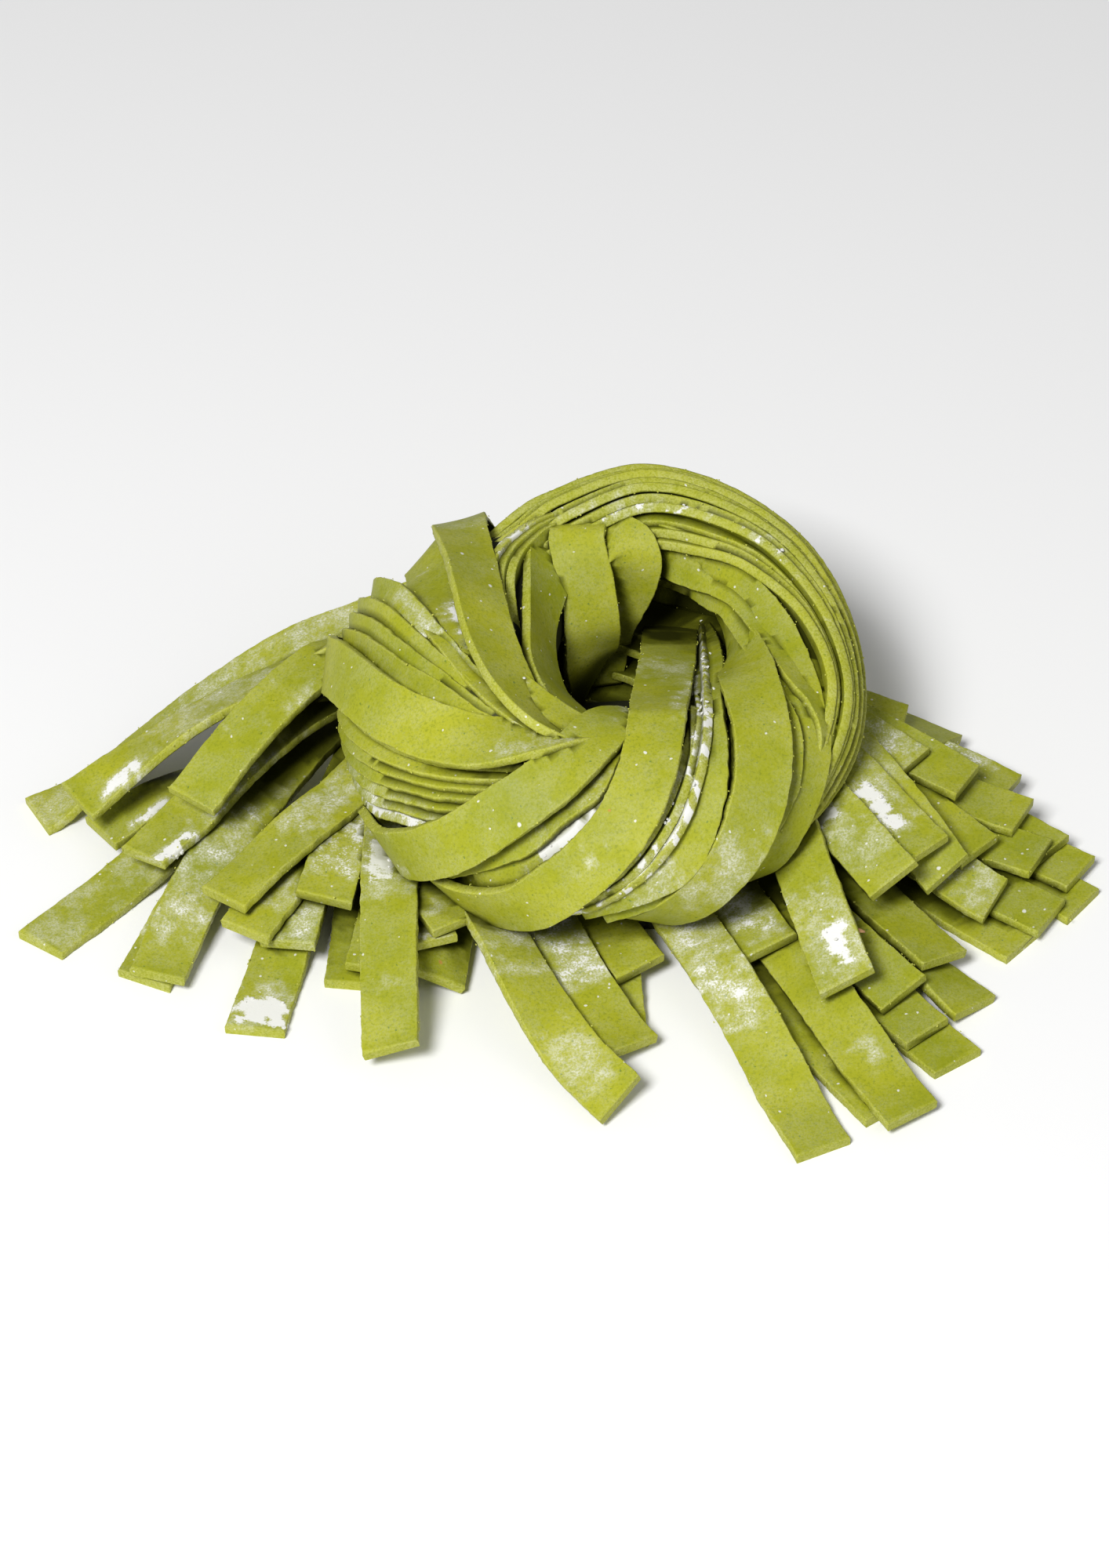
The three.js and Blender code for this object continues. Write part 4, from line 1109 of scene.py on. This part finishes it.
class DoughColours(bpy.types.PropertyGroup):
    """Colours of the dough and the flour."""

    face: colour_setting("Face", "Lighter colour of the rolled faces", 0.40, 0.41, 0.018)
    shade: colour_setting("Mottling", "Darker colour of the rolled faces", 0.27, 0.30, 0.009)
    edge: colour_setting("Cut edge", "Colour of the crumbly cut edges", 0.49, 0.50, 0.08)
    grain: colour_setting("Grain", "Colour of the small pits in the faces", 0.19, 0.23, 0.008)
    speck: colour_setting("Leaf specks", "Colour of the specks of spinach", 0.13, 0.20, 0.015)
    orange: colour_setting("Orange specks", "Colour of the few orange specks", 0.55, 0.22, 0.03)
    # painted shade: near-black for the core and the mound, and laid over sheltered dough and the hollows
    inside: colour_setting("Inside", "Colour of the dough inside the coil", 0.016, 0.018, 0.002)
    flour: colour_setting("Flour", "Colour of the flour", 0.82, 0.82, 0.78)
    fibre: colour_setting("Fibre", "Colour of the brown fibre", 0.36, 0.20, 0.09)


class StageSettings(bpy.types.PropertyGroup):
    """The floor and the camera."""

    floor: colour_setting("Floor", "Colour of the floor", 0.95, 0.95, 0.95)
    distance: length_setting("Camera distance", "From the camera to the nest", 600, 300, 2000)
    elevation: bpy.props.FloatProperty(
        name="Camera elevation", description="Angle of the view above the floor",
        default=math.radians(42), min=0, max=math.radians(90), subtype="ANGLE",
    )
    lens: bpy.props.FloatProperty(
        name="Lens", description="Focal length of the camera in millimetres", default=94.5,
        min=30, max=200,
    )


class NestSettings(bpy.types.PropertyGroup):
    """All settings of the nest."""

    seed: bpy.props.IntProperty(name="Seed", description="Start of the random draws", default=4, min=0)
    ribbon: bpy.props.PointerProperty(type=RibbonSizes)
    dough: bpy.props.PointerProperty(type=DoughColours)
    stage: bpy.props.PointerProperty(type=StageSettings)


# ---------------------------------------------------------------- operators

class PASTA_OT_core(bpy.types.Operator):
    """Adds the plain dough inside the coil and under it, coloured near-black as painted shade"""

    bl_idname = "pasta.core"
    bl_label = "Core"

    def execute(self, context):
        settings = context.scene.pasta_nest
        bpy.ops.object.select_all(action="DESELECT")
        bpy.ops.mesh.primitive_torus_add(
            major_segments=90, minor_segments=28, major_radius=1, minor_radius=0.5, location=(0, 0, 0),
        )
        ring = context.object
        ring.name = "coil_core"
        for vertex in ring.data.vertices:
            x, y, z = vertex.co
            u = math.degrees(math.atan2(y, x))
            v = math.degrees(math.atan2(z, math.hypot(x, y) - 1))
            point, _ = tube(u, v, -CORE_DEPTH)
            vertex.co = (point + NEST_SHIFT) * MM
        bpy.ops.object.shade_smooth()
        show(ring, core_painted_shade_material(settings))
        bpy.ops.object.select_all(action="DESELECT")
        bpy.ops.mesh.primitive_uv_sphere_add(segments=48, ring_count=24, radius=1, location=(0, 0, 0))
        mound = context.object
        mound.name = "mound_core"
        middle = NEST_SHIFT + (*MOUND_CENTRE, 0)
        for vertex in mound.data.vertices:
            vertex.co = (np.array(vertex.co) * MOUND_RADII + middle) * MM
        bpy.ops.object.mode_set(mode="EDIT")
        bpy.ops.mesh.select_all(action="SELECT")
        bpy.ops.mesh.bisect(plane_co=(0, 0, 0), plane_no=(0, 0, 1), use_fill=True, clear_inner=True)
        bpy.ops.object.mode_set(mode="OBJECT")
        bpy.ops.object.shade_smooth_by_angle(angle=RIM_ANGLE)
        show(mound, core_painted_shade_material(settings))
        return {"FINISHED"}


class PASTA_OT_arch(bpy.types.Operator):
    """Adds the ribbons on edge that run from the hole over the back and down the right"""

    bl_idname = "pasta.arch"
    bl_label = "Arch"

    def execute(self, context):
        settings = context.scene.pasta_nest
        thickness = settings.ribbon.thickness / MM
        bands = []
        ends = [*ARCH_SHARES[1:], ARCH_SHARES[-1] + LAST_ARCH_STEP]
        for k, (share, following) in enumerate(zip(ARCH_SHARES, ends)):
            shown = max((following - share) * ARCH_GIRTH, thickness * LEAST_SHOWN)
            tilt = math.degrees(math.asin(min(STEEPEST_SINE, thickness / shown)))
            points = [(*p[:3], p[3] + ARCH_LIFTS[k]) for p in between(ARCH_TOP, ARCH_FOOT, share)]
            bands.append((f"arch{k}", points, [tilt], -1))
        band_piece("arch_ribbons", bands, settings)
        return {"FINISHED"}


class PASTA_OT_right(bpy.types.Operator):
    """Adds the wide bands from the hole over the right side"""

    bl_idname = "pasta.right_bands"
    bl_label = "Right bands"

    def execute(self, context):
        band_piece("right_ribbons", RIGHT_BANDS, context.scene.pasta_nest)
        return {"FINISHED"}


class PASTA_OT_front(bpy.types.Operator):
    """Adds the bands that rise out of the hole and turn down at the front"""

    bl_idname = "pasta.front_bands"
    bl_label = "Front bands"

    def execute(self, context):
        band_piece("front_ribbons", FRONT_BANDS, context.scene.pasta_nest)
        return {"FINISHED"}


class PASTA_OT_steps(bpy.types.Operator):
    """Adds the narrow steps of dough along the left foot of the coil"""

    bl_idname = "pasta.steps"
    bl_label = "Left steps"

    def execute(self, context):
        band_piece("step_ribbons", STEP_BANDS, context.scene.pasta_nest)
        return {"FINISHED"}


class PASTA_OT_left(bpy.types.Operator):
    """Adds the bands that cross the top and turn down on the left"""

    bl_idname = "pasta.left_bands"
    bl_label = "Left bands"

    def execute(self, context):
        band_piece("left_ribbons", LEFT_BANDS, context.scene.pasta_nest)
        return {"FINISHED"}


class PASTA_OT_back(bpy.types.Operator):
    """Adds the bands at the back of the hole, one of which folds over"""

    bl_idname = "pasta.back_bands"
    bl_label = "Back bands"

    def execute(self, context):
        band_piece("back_ribbons", BACK_BANDS, context.scene.pasta_nest)
        return {"FINISHED"}


class PASTA_OT_under(bpy.types.Operator):
    """Adds the bands that stand round the back, under the arch"""

    bl_idname = "pasta.under_bands"
    bl_label = "Under bands"

    def execute(self, context):
        band_piece("under_ribbons", UNDER_BANDS, context.scene.pasta_nest)
        return {"FINISHED"}


class PASTA_OT_tails(bpy.types.Operator):
    """Adds the cut ends that fan out over the table"""

    bl_idname = "pasta.tails"
    bl_label = "Tails"

    def execute(self, context):
        settings = context.scene.pasta_nest
        sizes = settings.ribbon
        width, thickness, step = sizes.width / MM, sizes.thickness / MM, sizes.step / MM
        pile = Pile()
        ribbons = []
        for number, (name, *tail) in enumerate(sum(TAILS.values(), [])):
            rng = np.random.default_rng([settings.seed, TAIL_DRAWS, number])
            path = rolled(pile.lay(width, thickness, *tail), ROLLS.get(name, 0))
            ribbons.append(ribbon_mesh(name, resample(path, step), sizes, rng))
        for piece_name, tails in TAILS.items():
            fan, ribbons = ribbons[:len(tails)], ribbons[len(tails):]
            show(join_ribbons(piece_name, fan), dough_material(settings))
        return {"FINISHED"}


class PASTA_OT_lumps(bpy.types.Operator):
    """Adds the lumps of flour where it lies thick"""

    bl_idname = "pasta.flour_lumps"
    bl_label = "Flour lumps"

    def execute(self, context):
        settings = context.scene.pasta_nest
        rng = np.random.default_rng([settings.seed, LUMP_DRAWS])
        places, normals, amount = dough_vertices("flour")
        waves, starts = rng.normal(0, HEAP_WAVES, (3, 5)), rng.uniform(0, 6, 5)
        heaped = np.sin(places @ waves + starts).sum(1) > HEAPED_FROM
        chosen = (amount > LUMPY_FROM) & heaped & (rng.uniform(0, 1, len(places)) < LUMPS_TRIED)
        radii = rng.uniform(*LUMP_RADIUS, chosen.sum()) ** LUMP_POWER
        scatter("flour_lumps", places[chosen], normals[chosen], radii, rng, flour_material(settings))
        return {"FINISHED"}


class PASTA_OT_crumbs(bpy.types.Operator):
    """Adds the crumbs of dough along the cut edges"""

    bl_idname = "pasta.edge_crumbs"
    bl_label = "Edge crumbs"

    def execute(self, context):
        settings = context.scene.pasta_nest
        rng = np.random.default_rng([settings.seed, CRUMB_DRAWS])
        places, normals, amount = dough_vertices("cut_edge")
        chosen = (amount > CUT_EDGE_FROM) & (rng.uniform(0, 1, len(places)) < CRUMBS_TRIED)
        radii = rng.uniform(*CRUMB_RADIUS, chosen.sum()) ** CRUMB_POWER
        scatter("edge_crumbs", places[chosen], normals[chosen], radii, rng, crumb_material(settings))
        return {"FINISHED"}


class PASTA_OT_fibre(bpy.types.Operator):
    """Adds the tiny brown fibre between two tails on the right"""

    bl_idname = "pasta.fibre"
    bl_label = "Fibre"

    def execute(self, context):
        settings = context.scene.pasta_nest
        bpy.ops.object.select_all(action="DESELECT")
        bpy.ops.mesh.primitive_cylinder_add(vertices=12, radius=1, depth=1, location=(0, 0, 0))
        fibre = context.object
        fibre.name = "brown_fibre"
        bpy.ops.object.mode_set(mode="EDIT")
        bpy.ops.mesh.select_all(action="SELECT")
        bpy.ops.mesh.subdivide(number_cuts=8)
        bpy.ops.object.mode_set(mode="OBJECT")
        middle = np.array(FIBRE_MIDDLE) + NEST_SHIFT
        for vertex in fibre.data.vertices:
            side, up, along = vertex.co
            taper = 1 - FIBRE_TAPER * along * along + FIBRE_WAVER * math.sin(FIBRE_WAVES * along)
            bow = FIBRE_BOW * math.cos(FIBRE_ARC * along)
            across = side * FIBRE_WIDTH * taper / 2 + bow * FIBRE_SIDEWAYS
            local = np.array([along * FIBRE_LENGTH, across, up * FIBRE_THICKNESS / 2 + bow])
            vertex.co = (middle + local) * MM
        bpy.ops.object.shade_smooth()
        show(fibre, fibre_material(settings))
        return {"FINISHED"}


class PASTA_OT_paint_shade(bpy.types.Operator):
    """Paints shade into the dough's colour where other dough shelters it and in the hollows"""

    bl_idname = "pasta.shelter"
    bl_label = "Shelter"

    def execute(self, context):
        pieces = dough_pieces()
        points, faces = [], []
        for piece in pieces:
            first = len(points)
            points.extend(vertex_rows(piece.data, "co").tolist())
            faces.extend([k + first for k in face.vertices] for face in piece.data.polygons)
        tree = BVHTree.FromPolygons(points, faces)
        for piece in pieces:
            # painted shade: the larger of each vertex's shelter from the room's light and its hollows
            amount = smoothstep((sheltered(tree, piece.data) - SHELTER_FROM) / (1 - SHELTER_FROM))
            give_vertices(piece, "painted_shade", np.maximum(amount, hollow_shade(vertex_rows(piece.data, "co"))))
        return {"FINISHED"}


class PASTA_OT_stage(bpy.types.Operator):
    """Adds the floor, the lights and the camera"""

    bl_idname = "pasta.stage"
    bl_label = "Stage"

    def execute(self, context):
        settings = context.scene.pasta_nest
        stage = settings.stage
        bpy.ops.object.select_all(action="DESELECT")
        bpy.ops.mesh.primitive_plane_add(size=FLOOR_SIZE, location=(0, 0, 0))
        floor = context.object
        floor.name = "floor"
        floor.data.materials.append(floor_material(settings))
        world = bpy.data.worlds.new("soft_room")
        context.scene.world = world
        world.use_nodes = True
        background = world.node_tree.nodes["Background"]
        background.inputs["Color"].default_value = (1, 1, 1, 1)
        background.inputs["Strength"].default_value = ROOM_LIGHT
        context.scene.view_settings.view_transform = "Standard"
        for name, place, power, size in LIGHTS:
            bpy.ops.object.light_add(type="AREA", location=place)
            lamp = context.object
            lamp.name = name
            lamp.data.energy = power
            lamp.data.size = size
            aim = Vector(LIT_POINT) - Vector(place)
            lamp.rotation_euler = aim.to_track_quat("-Z", "Y").to_euler()
        back = Vector((0, -math.cos(stage.elevation), math.sin(stage.elevation)))
        bpy.ops.object.camera_add(location=Vector(CAMERA_TARGET) * MM + back * stage.distance)
        camera = context.object
        camera.name = "camera"
        camera.rotation_euler = (math.radians(90) - stage.elevation, 0, 0)
        camera.data.lens = stage.lens
        camera.data.clip_start = NEAREST_SEEN
        context.scene.camera = camera
        return {"FINISHED"}


class PASTA_PT_panel(bpy.types.Panel):
    """Lists the settings and the steps of the nest"""

    bl_label = "Pasta nest"
    bl_idname = "PASTA_PT_panel"
    bl_space_type = "VIEW_3D"
    bl_region_type = "UI"
    bl_category = "Pasta nest"

    def draw(self, context):
        settings = context.scene.pasta_nest
        for group in (settings.ribbon, settings.dough, settings.stage):
            box = self.layout.box()
            box.label(text=type(group).__name__)
            for key in group.__annotations__:
                box.prop(group, key)
        for step in STEPS:
            self.layout.operator(step.bl_idname)


STEPS = (
    PASTA_OT_stage, PASTA_OT_core, PASTA_OT_arch, PASTA_OT_right, PASTA_OT_front, PASTA_OT_steps,
    PASTA_OT_left, PASTA_OT_back, PASTA_OT_under, PASTA_OT_tails, PASTA_OT_lumps, PASTA_OT_crumbs,
    PASTA_OT_fibre, PASTA_OT_paint_shade,
)
CLASSES = (RibbonSizes, DoughColours, StageSettings, NestSettings, *STEPS, PASTA_PT_panel)


def register():
    for cls in CLASSES:
        bpy.utils.register_class(cls)
    bpy.types.Scene.pasta_nest = bpy.props.PointerProperty(type=NestSettings)


def unregister():
    del bpy.types.Scene.pasta_nest
    for cls in reversed(CLASSES):
        bpy.utils.unregister_class(cls)


def main():
    register()
    for step in STEPS:
        group, name = step.bl_idname.split(".")
        getattr(getattr(bpy.ops, group), name)()


if __name__ == "__main__":
    main()
